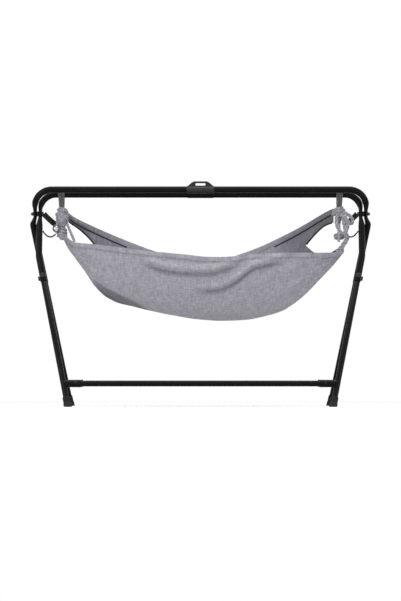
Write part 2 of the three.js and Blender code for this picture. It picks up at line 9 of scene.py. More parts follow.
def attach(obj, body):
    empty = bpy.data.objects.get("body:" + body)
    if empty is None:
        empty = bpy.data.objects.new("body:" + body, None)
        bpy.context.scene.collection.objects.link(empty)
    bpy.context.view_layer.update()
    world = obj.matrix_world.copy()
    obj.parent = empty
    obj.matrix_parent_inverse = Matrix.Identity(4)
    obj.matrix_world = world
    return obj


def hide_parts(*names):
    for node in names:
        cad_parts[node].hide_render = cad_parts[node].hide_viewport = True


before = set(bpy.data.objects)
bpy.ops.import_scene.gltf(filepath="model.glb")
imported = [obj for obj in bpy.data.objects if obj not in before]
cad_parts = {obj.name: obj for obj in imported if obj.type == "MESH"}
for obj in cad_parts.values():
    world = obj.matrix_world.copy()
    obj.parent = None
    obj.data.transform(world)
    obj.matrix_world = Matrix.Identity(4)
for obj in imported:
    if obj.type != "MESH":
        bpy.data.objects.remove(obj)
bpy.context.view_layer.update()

# Sizes of the stand, in metres, as its solids have them. TUBE, LEG, SOCKET, FOOT, FOOT_SKIRT, SLEEVE and CLIP
# are outer radii. Drops run down the frame from the pivot.
TUBE = 0.0125
WALL = 0.0012
LEG = 0.011
SLIP = 0.0003
SPREAD = math.radians(16.5)
PIVOT_HEIGHT = 0.74
INNER_BAR_HEIGHT = 0.816
OUTER_BAR_HEIGHT = 0.832
FLOOR_DROP = PIVOT_HEIGHT / math.cos(SPREAD)
FLAT_HALF_WIDTH = 0.0075
FLAT_HALF_DEPTH = 0.0153
FLAT_REACH = 0.013
EASE_REACH = 0.050
NOTCH_DROP = 0.014
INNER_PIVOT = 0.616
INNER_CORNER = 0.618
INNER_WAIST = 0.619
INNER_WAIST_DROP = 0.044
INNER_KNEE_DROP = 0.172
INNER_FOOT = 0.500
OUTER_PIVOT = 0.636
OUTER_CORNER = 0.640
OUTER_WAIST = 0.645
OUTER_WAIST_DROP = 0.040
OUTER_FOOT = 0.507
TUBE_END_DROP = 0.273
LEG_TOP_DROP = 0.226
KNOB_DROP = 0.254
CROSSBAR_HEIGHT = 0.088
SOCKET = 0.014
SOCKET_LENGTH = 0.066
SCREW_INSET = 0.020
FOOT_HEIGHT = 0.040
FOOT = 0.0155
FOOT_SKIRT = 0.0135
SLEEVE = 0.0140
SLEEVE_HALF_LENGTH = 0.050
CLIP = 0.0148
CLIP_HALF_LENGTH = 0.053
CLIP_RISE = 0.031 / math.cos(SPREAD)
SIDES = {"left": -1, "right": 1}

# Where the cradle hangs. The near edge's right corner stands out past the knot.
NEAR_RIGHT_REACH = 0.552
NEAR_LEFT_REACH = 0.528
FAR_REACH = 0.513
HANG_DEPTH = (INNER_BAR_HEIGHT - PIVOT_HEIGHT) * math.tan(SPREAD)
KNOT_REACH = 0.534
KNOT_HEIGHT = 0.700
KNOT_FOOT = 0.640
KNOT_TOP = 0.770
KNOT_HALF_WIDTH = 0.0215
KNOT_HALF_DEPTH = 0.025
STAY_REACH = KNOT_REACH + KNOT_HALF_WIDTH + 0.003
STAY_CORD_HEIGHT = 0.663
STAY_CORD_SAG = 0.016
LOOP_REACH = 0.536
LOOP_FOOT = 0.752
TAIL_LENGTH = 0.070
CLOTH_HALF_WIDTH = 0.165
CLOTH_END_HALF_WIDTH = 0.010
HEM_WIDTH = 0.020
STITCH_INSET = HEM_WIDTH * 0.86
CLOTH_THICKNESS = 0.0034

# How finely the round pieces are divided, and the smallest radius a closed pole keeps
ROUND = 48
FINE_ROUND = 72
POLE = 0.00001

# The stage, in metres and watts
CAMERA_PLACE = Vector((0, -12, 0.12))
CAMERA_AIM = Vector((0, 0, 0.4068))
CAMERA_LENS = 187.0
FLOOR_HALF = 2.3
LAMP_AIM = Vector((0, 0, 0.6))

scene = bpy.context.scene
scene.view_settings.view_transform = "Standard"


def along_frame(height):
    return (height - PIVOT_HEIGHT) / math.cos(SPREAD)


def tilted(turn):
    return Matrix.Translation((0, 0, PIVOT_HEIGHT)) @ Matrix.Rotation(turn, 4, "X")


INNER_BAR = along_frame(INNER_BAR_HEIGHT)
OUTER_BAR = along_frame(OUTER_BAR_HEIGHT)
CROSSBAR_DROP = -along_frame(CROSSBAR_HEIGHT)
FRAMES = {
    "inner": {
        "body": "inner_stand",
        "matrix": tilted(-SPREAD),
        "bar": INNER_BAR,
        "pivot_x": INNER_PIVOT,
        "corners": [(INNER_CORNER, INNER_BAR), (INNER_PIVOT, NOTCH_DROP), (INNER_PIVOT, -NOTCH_DROP),
                    (INNER_WAIST, -INNER_WAIST_DROP), (INNER_WAIST, -INNER_KNEE_DROP)],
        "radii": [0.060, 0.018, 0.018, 0.012, 0.108],
        "knee": (INNER_WAIST, INNER_KNEE_DROP),
        "foot_x": INNER_FOOT,
    },
    "outer": {
        "body": "outer_stand",
        "matrix": tilted(SPREAD),
        "bar": OUTER_BAR,
        "pivot_x": OUTER_PIVOT,
        "corners": [(OUTER_CORNER, OUTER_BAR), (OUTER_PIVOT, NOTCH_DROP), (OUTER_PIVOT, -NOTCH_DROP),
                    (OUTER_WAIST, -OUTER_WAIST_DROP)],
        "radii": [0.066, 0.018, 0.018, 0.012],
        "knee": (OUTER_WAIST, OUTER_WAIST_DROP),
        "foot_x": OUTER_FOOT,
    },
}


def leg_point(key, side, drop):
    knee_x, knee_drop = FRAMES[key]["knee"]
    share = (drop - knee_drop) / (FLOOR_DROP - knee_drop)
    return Vector((side * (knee_x + (FRAMES[key]["foot_x"] - knee_x) * share), 0, -drop))


def shares(count):
    return [i / count for i in range(count + 1)]


def around(count):
    return [2 * math.pi * i / count for i in range(count)]


def smooth_share(value, low, high):
    share = min(max((value - low) / (high - low), 0), 1)
    return share * share * (3 - 2 * share)


def curve_through(table):
    """A smooth curve through (place, value) pairs that never swings past them."""
    places = [place for place, value in table]
    values = [value for place, value in table]
    slopes = [(values[i + 1] - values[i]) / (places[i + 1] - places[i]) for i in range(len(table) - 1)]
    tangents = [slopes[0]]
    for before, after in zip(slopes, slopes[1:]):
        same_way = before * after > 0
        tangents.append(2 * before * after / (before + after) if same_way else 0)
    tangents.append(slopes[-1])

    def value_at(place):
        place = min(max(place, places[0]), places[-1])
        i = 0
        while i < len(places) - 2 and place > places[i + 1]:
            i += 1
        span = places[i + 1] - places[i]
        t = (place - places[i]) / span
        rise = values[i + 1] - values[i]
        start = tangents[i] * span
        end = tangents[i + 1] * span
        square = 3 * rise - 2 * start - end
        cube = start + end - 2 * rise
        return values[i] + start * t + square * t * t + cube * t ** 3

    return value_at


# Camera, far off and low, so that the back legs hide behind the front ones
def add_camera():
    data = bpy.data.cameras.new("camera")
    data.lens = CAMERA_LENS
    data.sensor_width = 36
    data.clip_end = 100
    camera = bpy.data.objects.new("camera", data)
    scene.collection.objects.link(camera)
    camera.location = CAMERA_PLACE
    camera.rotation_euler = (CAMERA_AIM - CAMERA_PLACE).to_track_quat("-Z", "Y").to_euler()
    scene.camera = camera


add_camera()


# Node helpers. An input given as a socket is linked, anything else is set as its value.
def link_or_set(tree, socket, value):
    if isinstance(value, bpy.types.NodeSocket):
        tree.links.new(value, socket)
    else:
        socket.default_value = value


def feed(tree, node, **inputs):
    for name, value in inputs.items():
        link_or_set(tree, node.inputs[name.replace("_", " ")], value)
    return node


def add_node(tree, kind, **inputs):
    return feed(tree, tree.nodes.new(kind), **inputs)


def math_node(tree, operation, *values):
    node = tree.nodes.new("ShaderNodeMath")
    node.operation = operation
    for socket, value in zip(node.inputs, values):
        link_or_set(tree, socket, value)
    return node.outputs[0]


def weighted_sum(tree, *terms):
    """The sum of (value, weight) pairs."""
    total = 0
    for value, weight in terms:
        total = math_node(tree, "MULTIPLY_ADD", value, weight, total)
    return total


def ripple(tree, place, pitch):
    """A sine wave along one coordinate, with one crest every pitch."""
    return math_node(tree, "SINE", math_node(tree, "MULTIPLY", place, 2 * math.pi / pitch))


def colour_ramp(tree, source, stops):
    node = add_node(tree, "ShaderNodeValToRGB", Fac=source)
    ramp = node.color_ramp
    while len(ramp.elements) < len(stops):
        ramp.elements.new(0.5)
    for element, (place, colour) in zip(ramp.elements, stops):
        element.position = place
        element.color = (*colour, 1)
    return node.outputs["Color"]


def mixed_colour(tree, factor, first, second):
    node = tree.nodes.new("ShaderNodeMix")
    node.data_type = "RGBA"
    return feed(tree, node, Factor=factor, A=first, B=second).outputs["Result"]


def coordinate(tree, output, scale=(1, 1, 1)):
    place = tree.nodes.new("ShaderNodeTexCoord").outputs[output]
    return add_node(tree, "ShaderNodeMapping", Vector=place, Scale=scale).outputs["Vector"]


def axes(tree, vector):
    return add_node(tree, "ShaderNodeSeparateXYZ", Vector=vector).outputs


def noise_value(tree, vector, scale, detail=3, roughness=0.55):
    return add_node(tree, "ShaderNodeTexNoise", Vector=vector, Scale=scale, Detail=detail,
                    Roughness=roughness).outputs["Fac"]


def bump_from(tree, height, distance, strength=1.0, under=None):
    node = add_node(tree, "ShaderNodeBump", Height=height, Distance=distance, Strength=strength)
    if under is not None:
        feed(tree, node, Normal=under)
    return node.outputs["Normal"]


def new_material(name):
    material = bpy.data.materials.new(name)
    material.use_nodes = True
    return material, material.node_tree, material.node_tree.nodes["Principled BSDF"]


# Powder-coated tube: nearly black, satin, with a fine orange peel and faint rubbed patches
def make_black_enamel():
    material, tree, shader = new_material("black_enamel")
    place = coordinate(tree, "Object")
    blotches = noise_value(tree, place, 14, 4)
    peel = noise_value(tree, place, 900, 2)
    rubs = noise_value(tree, place, 55, 6, 0.7)
    rubbed = colour_ramp(tree, rubs, [(0.60, (0, 0, 0)), (0.78, (1, 1, 1))])
    tint = colour_ramp(tree, blotches, [(0.3, (0.0030, 0.0030, 0.0034)), (0.7, (0.0058, 0.0058, 0.0064))])
    base = mixed_colour(tree, math_node(tree, "MULTIPLY", rubbed, 0.35), tint, (0.014, 0.014, 0.015, 1))
    rough = math_node(tree, "MULTIPLY_ADD", blotches, 0.14, 0.22)
    rough = math_node(tree, "MULTIPLY_ADD", rubbed, 0.12, rough)
    feed(tree, shader, Base_Color=base, Roughness=rough, Specular_IOR_Level=0.10,
         Normal=bump_from(tree, peel, 0.00004, 0.6))
    return material


# Moulded parts: dull black with a fine spark-eroded grain
def make_moulded_plastic():
    material, tree, shader = new_material("moulded_plastic")
    place = coordinate(tree, "Object")
    grain = noise_value(tree, place, 1500, 3, 0.7)
    patches = noise_value(tree, place, 40, 3)
    base = colour_ramp(tree, patches, [(0.35, (0.008, 0.008, 0.009)), (0.7, (0.015, 0.015, 0.016))])
    rough = math_node(tree, "MULTIPLY_ADD", grain, 0.2, 0.38)
    feed(tree, shader, Base_Color=base, Roughness=rough, Specular_IOR_Level=0.4,
         Normal=bump_from(tree, grain, 0.00012, 0.7))
    return material


# Rubber feet: dusty matt black, paler where they have scuffed along the floor
DUST_HEIGHT = 0.010


def make_foot_rubber():
    material, tree, shader = new_material("foot_rubber")
    place = coordinate(tree, "Object")
    low = add_node(tree, "ShaderNodeMapRange", Value=axes(tree, place)["Z"])
    low.inputs["From Min"].default_value = DUST_HEIGHT
    low.inputs["From Max"].default_value = 0.0
    dust = math_node(tree, "MULTIPLY", low.outputs[0], noise_value(tree, place, 160, 5, 0.7))
    base = colour_ramp(tree, dust, [(0.1, (0.009, 0.009, 0.0095)), (0.9, (0.075, 0.072, 0.07))])
    feed(tree, shader, Base_Color=base, Roughness=0.72, Specular_IOR_Level=0.3,
         Normal=bump_from(tree, noise_value(tree, place, 700, 4), 0.0002, 0.6))
    return material


# Bolts and screws: blackened steel with turning marks
def make_blackened_steel():
    material, tree, shader = new_material("blackened_steel")
    marks = noise_value(tree, coordinate(tree, "Object", (260, 1, 1)), 5, 4)
    base = colour_ramp(tree, marks, [(0.3, (0.035, 0.035, 0.038)), (0.7, (0.085, 0.085, 0.09))])
    rough = math_node(tree, "MULTIPLY_ADD", marks, 0.2, 0.28)
    feed(tree, shader, Base_Color=base, Metallic=0.85, Roughness=rough,
         Normal=bump_from(tree, marks, 0.00006, 0.5))
    return material


# Plain weave of mixed light and dark yarns. The piece's UV map runs in metres along the two yarn directions,
# and its attribute "shade" paints shade into the yarn's colour where the cloth is creased, folded under or
# deep inside.
YARN_PITCH = 0.0014
# The colour of the painted shade, towards which the yarn is darkened
PAINTED_SHADE_YARN = (0.055, 0.053, 0.062, 1)


def make_melange_cloth(name, light, dark, mottling=0.30):
    material, tree, shader = new_material(name)
    along = coordinate(tree, "UV")
    yarns = axes(tree, along)
    warp = ripple(tree, yarns["X"], YARN_PITCH)
    weft = ripple(tree, yarns["Y"], YARN_PITCH)
    weave = math_node(tree, "MULTIPLY", warp, weft)
    warp_yarn = noise_value(tree, coordinate(tree, "UV", (900, 55, 1)), 1, 3, 0.6)
    weft_yarn = noise_value(tree, coordinate(tree, "UV", (55, 900, 1)), 1, 3, 0.6)
    over = math_node(tree, "GREATER_THAN", weave, 0.0)
    yarn = add_node(tree, "ShaderNodeMix", Factor=over, A=warp_yarn, B=weft_yarn).outputs["Result"]
    warp_slubs = noise_value(tree, coordinate(tree, "UV", (170, 34, 1)), 1, 3, 0.65)
    weft_slubs = noise_value(tree, coordinate(tree, "UV", (40, 190, 1)), 1, 3, 0.65)
    slubs = math_node(tree, "MULTIPLY", warp_slubs, weft_slubs)
    clouds = noise_value(tree, along, 26, 4, 0.6)
    tone = weighted_sum(tree, (yarn, 0.55), (slubs, 4 * mottling), (clouds, 0.20))
    # Painted shade: the attribute "shade" mixes the yarn towards the painted shade colour
    folded = tree.nodes.new("ShaderNodeAttribute")
    folded.attribute_name = "shade"
    base = mixed_colour(tree, folded.outputs["Fac"], colour_ramp(tree, tone, [(0.42, dark), (0.90, light)]),
                        PAINTED_SHADE_YARN)
    rumple = bump_from(tree, noise_value(tree, along, 75, 4, 0.6), 0.0022, 0.55)
    feed(tree, shader, Base_Color=base, Roughness=0.92, Specular_IOR_Level=0.15, Sheen_Weight=0.18,
         Sheen_Roughness=0.45, Normal=bump_from(tree, weave, 0.00022, 0.5, rumple))
    return material


# Twisted cord of the same mixed yarn, with fine fibres
def make_melange_rope(name, dark, light):
    material, tree, shader = new_material(name)
    place = coordinate(tree, "Object")
    fibres = noise_value(tree, place, 950, 4, 0.7)
    flecks = noise_value(tree, place, 260, 3, 0.6)
    tone = weighted_sum(tree, (fibres, 0.5), (flecks, 0.5))
    feed(tree, shader, Base_Color=colour_ramp(tree, tone, [(0.36, dark), (0.62, light)]), Roughness=0.9,
         Specular_IOR_Level=0.15, Sheen_Weight=0.2, Normal=bump_from(tree, fibres, 0.0005, 0.7))
    return material


# Woven webbing: black, ribbed across, slightly shiny
WEBBING_RIB = 0.0012
WEBBING_CORD = 0.0026


def make_black_webbing():
    material, tree, shader = new_material("ribbed_webbing")
    threads = axes(tree, coordinate(tree, "UV"))
    ribs = ripple(tree, threads["X"], WEBBING_RIB)
    cords = ripple(tree, threads["Y"], WEBBING_CORD)
    weave = weighted_sum(tree, (ribs, 0.6), (cords, 0.4))
    fibres = noise_value(tree, coordinate(tree, "Object"), 1200, 3)
    base = colour_ramp(tree, fibres, [(0.3, (0.007, 0.007, 0.008)), (0.75, (0.020, 0.020, 0.022))])
    feed(tree, shader, Base_Color=base, Roughness=0.62, Specular_IOR_Level=0.18, Sheen_Weight=0.03,
         Normal=bump_from(tree, weave, 0.0003, 0.7))
    return material


CLOTH = make_melange_cloth("melange_cloth", (0.56, 0.55, 0.61), (0.235, 0.230, 0.270))
THREAD = make_melange_cloth("hem_thread", (0.42, 0.415, 0.46), (0.22, 0.218, 0.25), 0.1)
ROPE = make_melange_rope("melange_rope", (0.20, 0.197, 0.225), (0.56, 0.555, 0.60))
LOOP_ROPE = make_melange_rope("dark_melange_rope", (0.022, 0.023, 0.024), (0.30, 0.30, 0.31))
DARK_CORD = make_melange_rope("black_cord", (0.010, 0.010, 0.011), (0.045, 0.045, 0.048))

# A look is a material and the name of a slot
ENAMELLED = (make_black_enamel(), "black_paint")
MOULDED = (make_moulded_plastic(), "black_plastic")
RUBBER = (make_foot_rubber(), "black_rubber")
STEEL = (make_blackened_steel(), "dark_steel")
WEBBING = (make_black_webbing(), "black_webbing")
GATHERED = (CLOTH, "grey_rope")
SEWN = (THREAD, "grey_cloth")
BLACK_SEWN = (WEBBING[0], "black_webbing")
ROPED = (ROPE, "grey_rope")
LOOPED = (LOOP_ROPE, "grey_rope")
CORDED = (DARK_CORD, "black_webbing")


# Mesh helpers
def linked_piece(name, data):
    piece = bpy.data.objects.new(name, data)
    scene.collection.objects.link(piece)
    return piece


def add_yarn_map(mesh, uvs):
    layer = mesh.uv_layers.new(name="yarns")
    for loop in mesh.loops:
        layer.data[loop.index].uv = uvs[loop.vertex_index]


def make_piece(name, points, faces, look, smooth_angle=40, uvs=None):
    material, slot = look
    mesh = bpy.data.meshes.new(name)
    mesh.from_pydata([tuple(p) for p in points], [], faces)
    mesh.materials.append(material)
    if uvs is not None:
        add_yarn_map(mesh, uvs)
    piece = linked_piece(name, mesh)
    finish_shading(piece, smooth_angle)
    return piece


def finish_shading(piece, smooth_angle):
    mesh = piece.data
    mesh.validate()
    mesh.polygons.foreach_set("use_smooth", [True] * len(mesh.polygons))
    mesh.set_sharp_from_angle(angle=math.radians(smooth_angle))
    mesh.update()


def outward(points, faces):
    """The same faces, turned round where they enclose a negative volume."""
    volume = 0.0
    for face in faces:
        first = points[face[0]]
        for second, third in zip(face[1:], face[2:]):
            volume += first.dot(points[second].cross(points[third]))
    return [tuple(reversed(face)) for face in faces] if volume < 0 else faces


def joined_rings(rings, closed=False):
    """Faces between rings of equal count. Open ends are capped, unless the rings close on themselves."""
    count = len(rings[0])
    points = [p for ring in rings for p in ring]
    faces = []
    pairs = len(rings) if closed else len(rings) - 1
    for i in range(pairs):
        start = i * count
        after = ((i + 1) % len(rings)) * count
        for j in range(count):
            k = (j + 1) % count
            faces.append((start + j, start + k, after + k, after + j))
    if not closed:
        faces.append(tuple(reversed(range(count))))
        faces.append(tuple(range((len(rings) - 1) * count, len(rings) * count)))
    return points, outward(points, faces)


def path_tangents(path):
    last = len(path) - 1
    return [(path[min(i + 1, last)] - path[max(i - 1, 0)]).normalized() for i in range(last + 1)]


def flat_ring(centre, tangent, normal, half_width, half_depth, count):
    across = tangent.cross(normal).normalized()
    ring = []
    for turn in around(count):
        ring.append(centre + across * (half_width * math.cos(turn)) + normal * (half_depth * math.sin(turn)))
    return ring


def moved(points, matrix):
    return [matrix @ p for p in points]


def turned_rings(profile, base, axis, count):
    axis = axis.normalized()
    side = axis.orthogonal().normalized()
    rings = []
    for radius, distance in profile:
        size = max(radius, POLE)
        rings.append(flat_ring(base + axis * distance, axis, side, size, size, count))
    return rings


def tube_wall(outer_profile, inner_profile, base, axis):
    """A turned wall: out along one profile of (radius, distance) pairs and back along the other."""
    return joined_rings(turned_rings(outer_profile + inner_profile, base, axis, ROUND), closed=True)


def ride_and_replace(piece, body, node):
    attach(piece, body)
    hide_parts(node)


def make_frame_piece(key, name, points, faces, look, node, smooth_angle=40, body=None):
    """A piece of one frame, tilted with it. It rides on the frame, unless a body is named."""
    shape = FRAMES[key]
    piece = make_piece(name, moved(points, shape["matrix"]), faces, look, smooth_angle)
    ride_and_replace(piece, body or shape["body"], node)


def together(*shells):
    """Several closed shells as one list of points and one of faces."""
    points = []
    faces = []
    for shell_points, shell_faces in shells:
        keep = len(points)
        points += shell_points
        faces += [tuple(keep + i for i in face) for face in shell_faces]
    return points, faces


def sagging_line(start, end, sag, count):
    line = []
    for share in shares(count):
        point = start.lerp(end, share)
        point.z -= sag * 4 * share * (1 - share)
        line.append(point)
    return line


# The bent tubes
BEND_STEP = math.radians(4)
FLAT_STEP = 0.003
STRAIGHT_STEP = 0.030


def rounded_path(corners, radii):
    """The line through the corners, with an arc of the given radius at each inner one."""
    path = [corners[0].copy()]
    for i in range(1, len(corners) - 1):
        corner = corners[i]
        into = (corners[i - 1] - corner).normalized()
        out = (corners[i + 1] - corner).normalized()
        half = into.angle(out) / 2
        radius = radii[i - 1]
        centre = corner + (into + out).normalized() * (radius / math.sin(half))
        reach = radius / math.tan(half)
        start = corner + into * reach - centre
        end = corner + out * reach - centre
        turn = start.angle(end)
        steps = max(4, math.ceil(turn / BEND_STEP))
        for share in shares(steps):
            path.append(centre + start * (math.sin((1 - share) * turn) / math.sin(turn))
                        + end * (math.sin(share * turn) / math.sin(turn)))
    path.append(corners[-1].copy())
    return divided(path)


def divided(path):
    """The path with points in between, closer together where the tube is pressed flat at the pivot."""
    dense = [path[0]]
    for before, after in zip(path, path[1:]):
        near_pivot = min(before.z, after.z) < EASE_REACH and max(before.z, after.z) > -EASE_REACH
        parts = max(1, math.ceil((after - before).length / (FLAT_STEP if near_pivot else STRAIGHT_STEP)))
        for part in range(1, parts + 1):
            dense.append(before.lerp(after, part / parts))
    return dense


def tube_half_sizes(point):
    flat = 1 - smooth_share(abs(point.z), FLAT_REACH, EASE_REACH)
    return TUBE + (FLAT_HALF_WIDTH - TUBE) * flat, TUBE + (FLAT_HALF_DEPTH - TUBE) * flat


def make_tube(key, word):
    shape = FRAMES[key]
    side = SIDES[word]
    corners = [Vector((side * SLIP, 0, shape["bar"]))]
    corners += [Vector((side * x, 0, z)) for x, z in shape["corners"]]
    corners.append(leg_point(key, side, TUBE_END_DROP))
    path = rounded_path(corners, shape["radii"])
    tangents = path_tangents(path)
    normal = Vector((0, 1, 0))
    rings = []
    for point, tangent in zip(path, tangents):
        half_width, half_depth = tube_half_sizes(point)
        rings.append(flat_ring(point, tangent, normal, half_width, half_depth, ROUND))
    end = path[-1]
    down = tangents[-1]
    mouth = LEG + SLIP
    lip = [(TUBE - 0.0003, 0.0004), (mouth + 0.0002, 0.0005), (mouth, 0.0001), (mouth, -0.006)]
    for radius, forward in lip:
        rings.append(flat_ring(end + down * forward, down, normal, radius, radius, ROUND))
    points, faces = joined_rings(rings)
    make_frame_piece(key, f"enamelled_{key}_tube_{word}", points, faces, ENAMELLED, f"{key}_tube_{word}")


def make_leg(key, word):
    side = SIDES[word]
    top = leg_point(key, side, LEG_TOP_DROP)
    bottom = leg_point(key, side, FLOOR_DROP - FOOT_HEIGHT / 3)
    length = (bottom - top).length
    outer = [(LEG - 0.0003, 0), (LEG, 0.0004), (LEG, length)]
    inner = [(LEG - WALL, length), (LEG - WALL, 0)]
    points, faces = tube_wall(outer, inner, top, bottom - top)
    make_frame_piece(key, f"enamelled_{key}_leg_{word}", points, faces, ENAMELLED, f"{key}_leg_{word}")


# Knobs: six soft lobes round a shallow domed cap, on a collar against the tube
KNOB_LOBES = 6
KNOB_LOBE_DEPTH = 0.0016


def make_knob(key, word):
    side = SIDES[word]
    centre = leg_point(key, side, KNOB_DROP)
    down = (leg_point(key, side, FLOOR_DROP) - centre).normalized()
    away = Vector((side, 0, 0))
    axis = (away - down * away.dot(down)).normalized() if key == "outer" else Vector((0, -1, 0))
    start = TUBE + SLIP
    # Radius, distance from the tube's axis and share of the lobes' full depth
    profile = [
        (0, 0.0095, 0), (0.0025, 0.0095, 0), (0.0025, start, 0), (0.0046, start, 0),
        (0.0050, start + 0.0006, 0), (0.0050, start + 0.0028, 0), (0.0078, start + 0.0030, 1),
        (0.0092, start + 0.0036, 1), (0.0098, start + 0.0050, 1), (0.0100, start + 0.0070, 1),
        (0.0098, start + 0.0088, 1), (0.0090, start + 0.0100, 1), (0.0074, start + 0.0106, 0.7),
        (0.0052, start + 0.0107, 0.2), (0.0047, start + 0.0103, 0), (0.0043, start + 0.0103, 0),
        (0.0038, start + 0.0108, 0), (0, start + 0.0110, 0),
    ]
    across = axis.orthogonal().normalized()
    other = axis.cross(across)
    rings = []
    for radius, distance, lobed in profile:
        ring = []
        for turn in around(FINE_ROUND):
            wave = KNOB_LOBE_DEPTH * (math.cos(turn * KNOB_LOBES) - 1) / 2 * lobed
            size = max(radius + wave, POLE)
            spoke = across * (size * math.cos(turn)) + other * (size * math.sin(turn))
            ring.append(centre + axis * distance + spoke)
        rings.append(ring)
    points, faces = joined_rings(rings)
    make_frame_piece(key, f"grip_{key}_knob_{word}", points, faces, MOULDED, f"{key}_knob_{word}", 32,
                     body=f"knob_{key}_{word}")


def make_crossbar(key):
    reach = leg_point(key, 1, CROSSBAR_DROP + 2 * SOCKET).x - LEG - SLIP
    start = Vector((-reach, 0, -CROSSBAR_DROP))
    outer = [(LEG, 0), (LEG, 2 * reach)]
    inner = [(LEG - WALL, 2 * reach), (LEG - WALL, 0)]
    points, faces = tube_wall(outer, inner, start, Vector((1, 0, 0)))
    make_frame_piece(key, f"enamelled_{key}_crossbar", points, faces, ENAMELLED, f"{key}_crossbar")


# Sockets saddle the leg, swell into a rounded lip where the bar goes in, and carry one screw each
SOCKET_FACETS = 64
SOCKET_LIP = SOCKET + 0.0006


def make_socket(key, word):
    side = SIDES[word]
    end_x = leg_point(key, side, CROSSBAR_DROP).x - side * SOCKET_LENGTH
    bore = LEG + SLIP

    def saddle(depth, height):
        centre_x = leg_point(key, side, CROSSBAR_DROP - height).x
        return centre_x - side * math.sqrt(max(bore * bore - depth * depth, 0))

    def ring(radius, share):
        points = []
        for turn in around(SOCKET_FACETS):
            depth = radius * math.cos(turn)
            height = radius * math.sin(turn)
            from_x = saddle(depth, height)
            points.append(Vector((from_x + (end_x - from_x) * share, depth, -CROSSBAR_DROP + height)))
        return points

    # Radius and share of the way from the leg to the mouth
    levels = [(SOCKET - 0.0005, 0), (SOCKET, 0.010), (SOCKET, 0.84), (SOCKET_LIP, 0.87), (SOCKET_LIP, 0.97),
              (SOCKET_LIP - 0.0005, 0.992), (SOCKET_LIP - 0.0014, 1), (bore, 1), (bore, 0)]
    points, faces = joined_rings([ring(radius, share) for radius, share in levels], closed=True)
    make_frame_piece(key, f"enamelled_{key}_socket_{word}", points, faces, ENAMELLED,
                     f"{key}_socket_{word}", 30)


# Pan-head screws with a cross recess
SCREW_FACETS = 32
RECESS_HALF_WIDTH = 0.0004
RECESS_REACH = 0.0028
RECESS_DEPTH = 0.0007


def make_socket_screw(key, word):
    side = SIDES[word]
    x = leg_point(key, side, CROSSBAR_DROP).x - side * (SOCKET_LENGTH - SCREW_INSET)
    base = Vector((x, 0, -CROSSBAR_DROP))
    head = SOCKET + SLIP
    profile = [(0, 0.0086), (0.002, 0.0086), (0.002, head), (0.0038, head), (0.0040, head + 0.0004),
               (0.0039, head + 0.0012), (0.0033, head + 0.0020), (0.0024, head + 0.0024),
               (0.0016, head + 0.0025), (0.0009, head + 0.0016), (0, head + 0.0015)]
    points, faces = joined_rings(turned_rings(profile, base, Vector((0, -1, 0)), SCREW_FACETS))
    for p in points:
        off_x = abs(p.x - base.x)
        off_z = abs(p.z - base.z)
        in_cross = min(off_x, off_z) < RECESS_HALF_WIDTH and math.hypot(off_x, off_z) < RECESS_REACH
        if in_cross and -p.y > head + 0.001:
            p.y += RECESS_DEPTH
    make_frame_piece(key, f"steel_{key}_socket_screw_{word}", points, faces, STEEL,
                     f"{key}_socket_screw_{word}", 30)


# Feet: a ribbed rubber cap with a rolled mouth and a wider pad, its sole level with the floor
FOOT_RIBS = 4
FIRST_RIB = 0.0085
RIB_PITCH = 0.0038
RIB_HEIGHT = 0.0006


def make_foot(key, word):
    matrix = FRAMES[key]["matrix"]
    side = SIDES[word]
    sole = matrix @ leg_point(key, side, FLOOR_DROP)
    top = matrix @ leg_point(key, side, FLOOR_DROP - FOOT_HEIGHT)
    axis = (sole - top).normalized()
    normal = (matrix.to_3x3() @ Vector((0, 1, 0))).normalized()
    bore = LEG + SLIP
    rib = FOOT_SKIRT + RIB_HEIGHT
    outer = [(bore, 0.010), (bore, 0.0008), (bore + 0.0006, 0), (FOOT_SKIRT - 0.0006, 0.0001),
             (FOOT_SKIRT, 0.0009), (FOOT_SKIRT, 0.0034), (FOOT_SKIRT - 0.0005, 0.0040),
             (FOOT_SKIRT - 0.0005, 0.0048), (rib, 0.0056)]
    for i in range(FOOT_RIBS):
        level = FIRST_RIB + i * RIB_PITCH
        outer += [(rib, level), (FOOT_SKIRT, level + 0.0005), (FOOT_SKIRT, level + 0.0013),
                  (rib, level + 0.0018)]
    outer += [(FOOT_SKIRT + 0.0008, 0.0245), (FOOT - 0.0006, 0.0268), (FOOT, 0.0278)]
    rings = [flat_ring(top + axis * down, axis, normal, radius, radius, ROUND) for radius, down in outer]
    for rise, inset in [(0.0033, 0), (0.0012, 0.0004), (0.0003, 0.0014), (0, 0.0030)]:
        centre = sole - axis * rise
        ring = flat_ring(centre, axis, normal, FOOT - inset, FOOT - inset, ROUND)
        rings.append([p + axis * ((centre.z - p.z) / axis.z) for p in ring])
    rings = [[Vector((p.x, p.y, max(p.z, 0))) for p in ring] for ring in rings]
    points, faces = joined_rings(rings)
    piece = make_piece(f"ribbed_{key}_foot_{word}", points, faces, RUBBER, 35)
    ride_and_replace(piece, FRAMES[key]["body"], f"{key}_foot_{word}")


# Sleeves on the bars
GROOVE_HALF_MOUTH = 0.0015
GROOVE_HALF_FLOOR = 0.0007


def grooved_sleeve(bar, radius, half, end_cuts, groove_depth, groove_reach):
    """A sleeve round a bar, with eased ends and a shallow groove near each of them."""
    cuts = [(end_cuts[0], half), (end_cuts[1], half - 0.0003), (0, half - 0.0010),
            (0, groove_reach + GROOVE_HALF_MOUTH), (groove_depth, groove_reach + GROOVE_HALF_FLOOR),
            (groove_depth, groove_reach - GROOVE_HALF_FLOOR), (0, groove_reach - GROOVE_HALF_MOUTH)]
    outer = [(radius - cut, -reach) for cut, reach in cuts]
    outer += [(radius - cut, reach) for cut, reach in reversed(cuts)]
    inner = [(TUBE + SLIP, half), (TUBE + SLIP, -half)]
    return tube_wall(outer, inner, Vector((0, 0, bar)), Vector((1, 0, 0)))


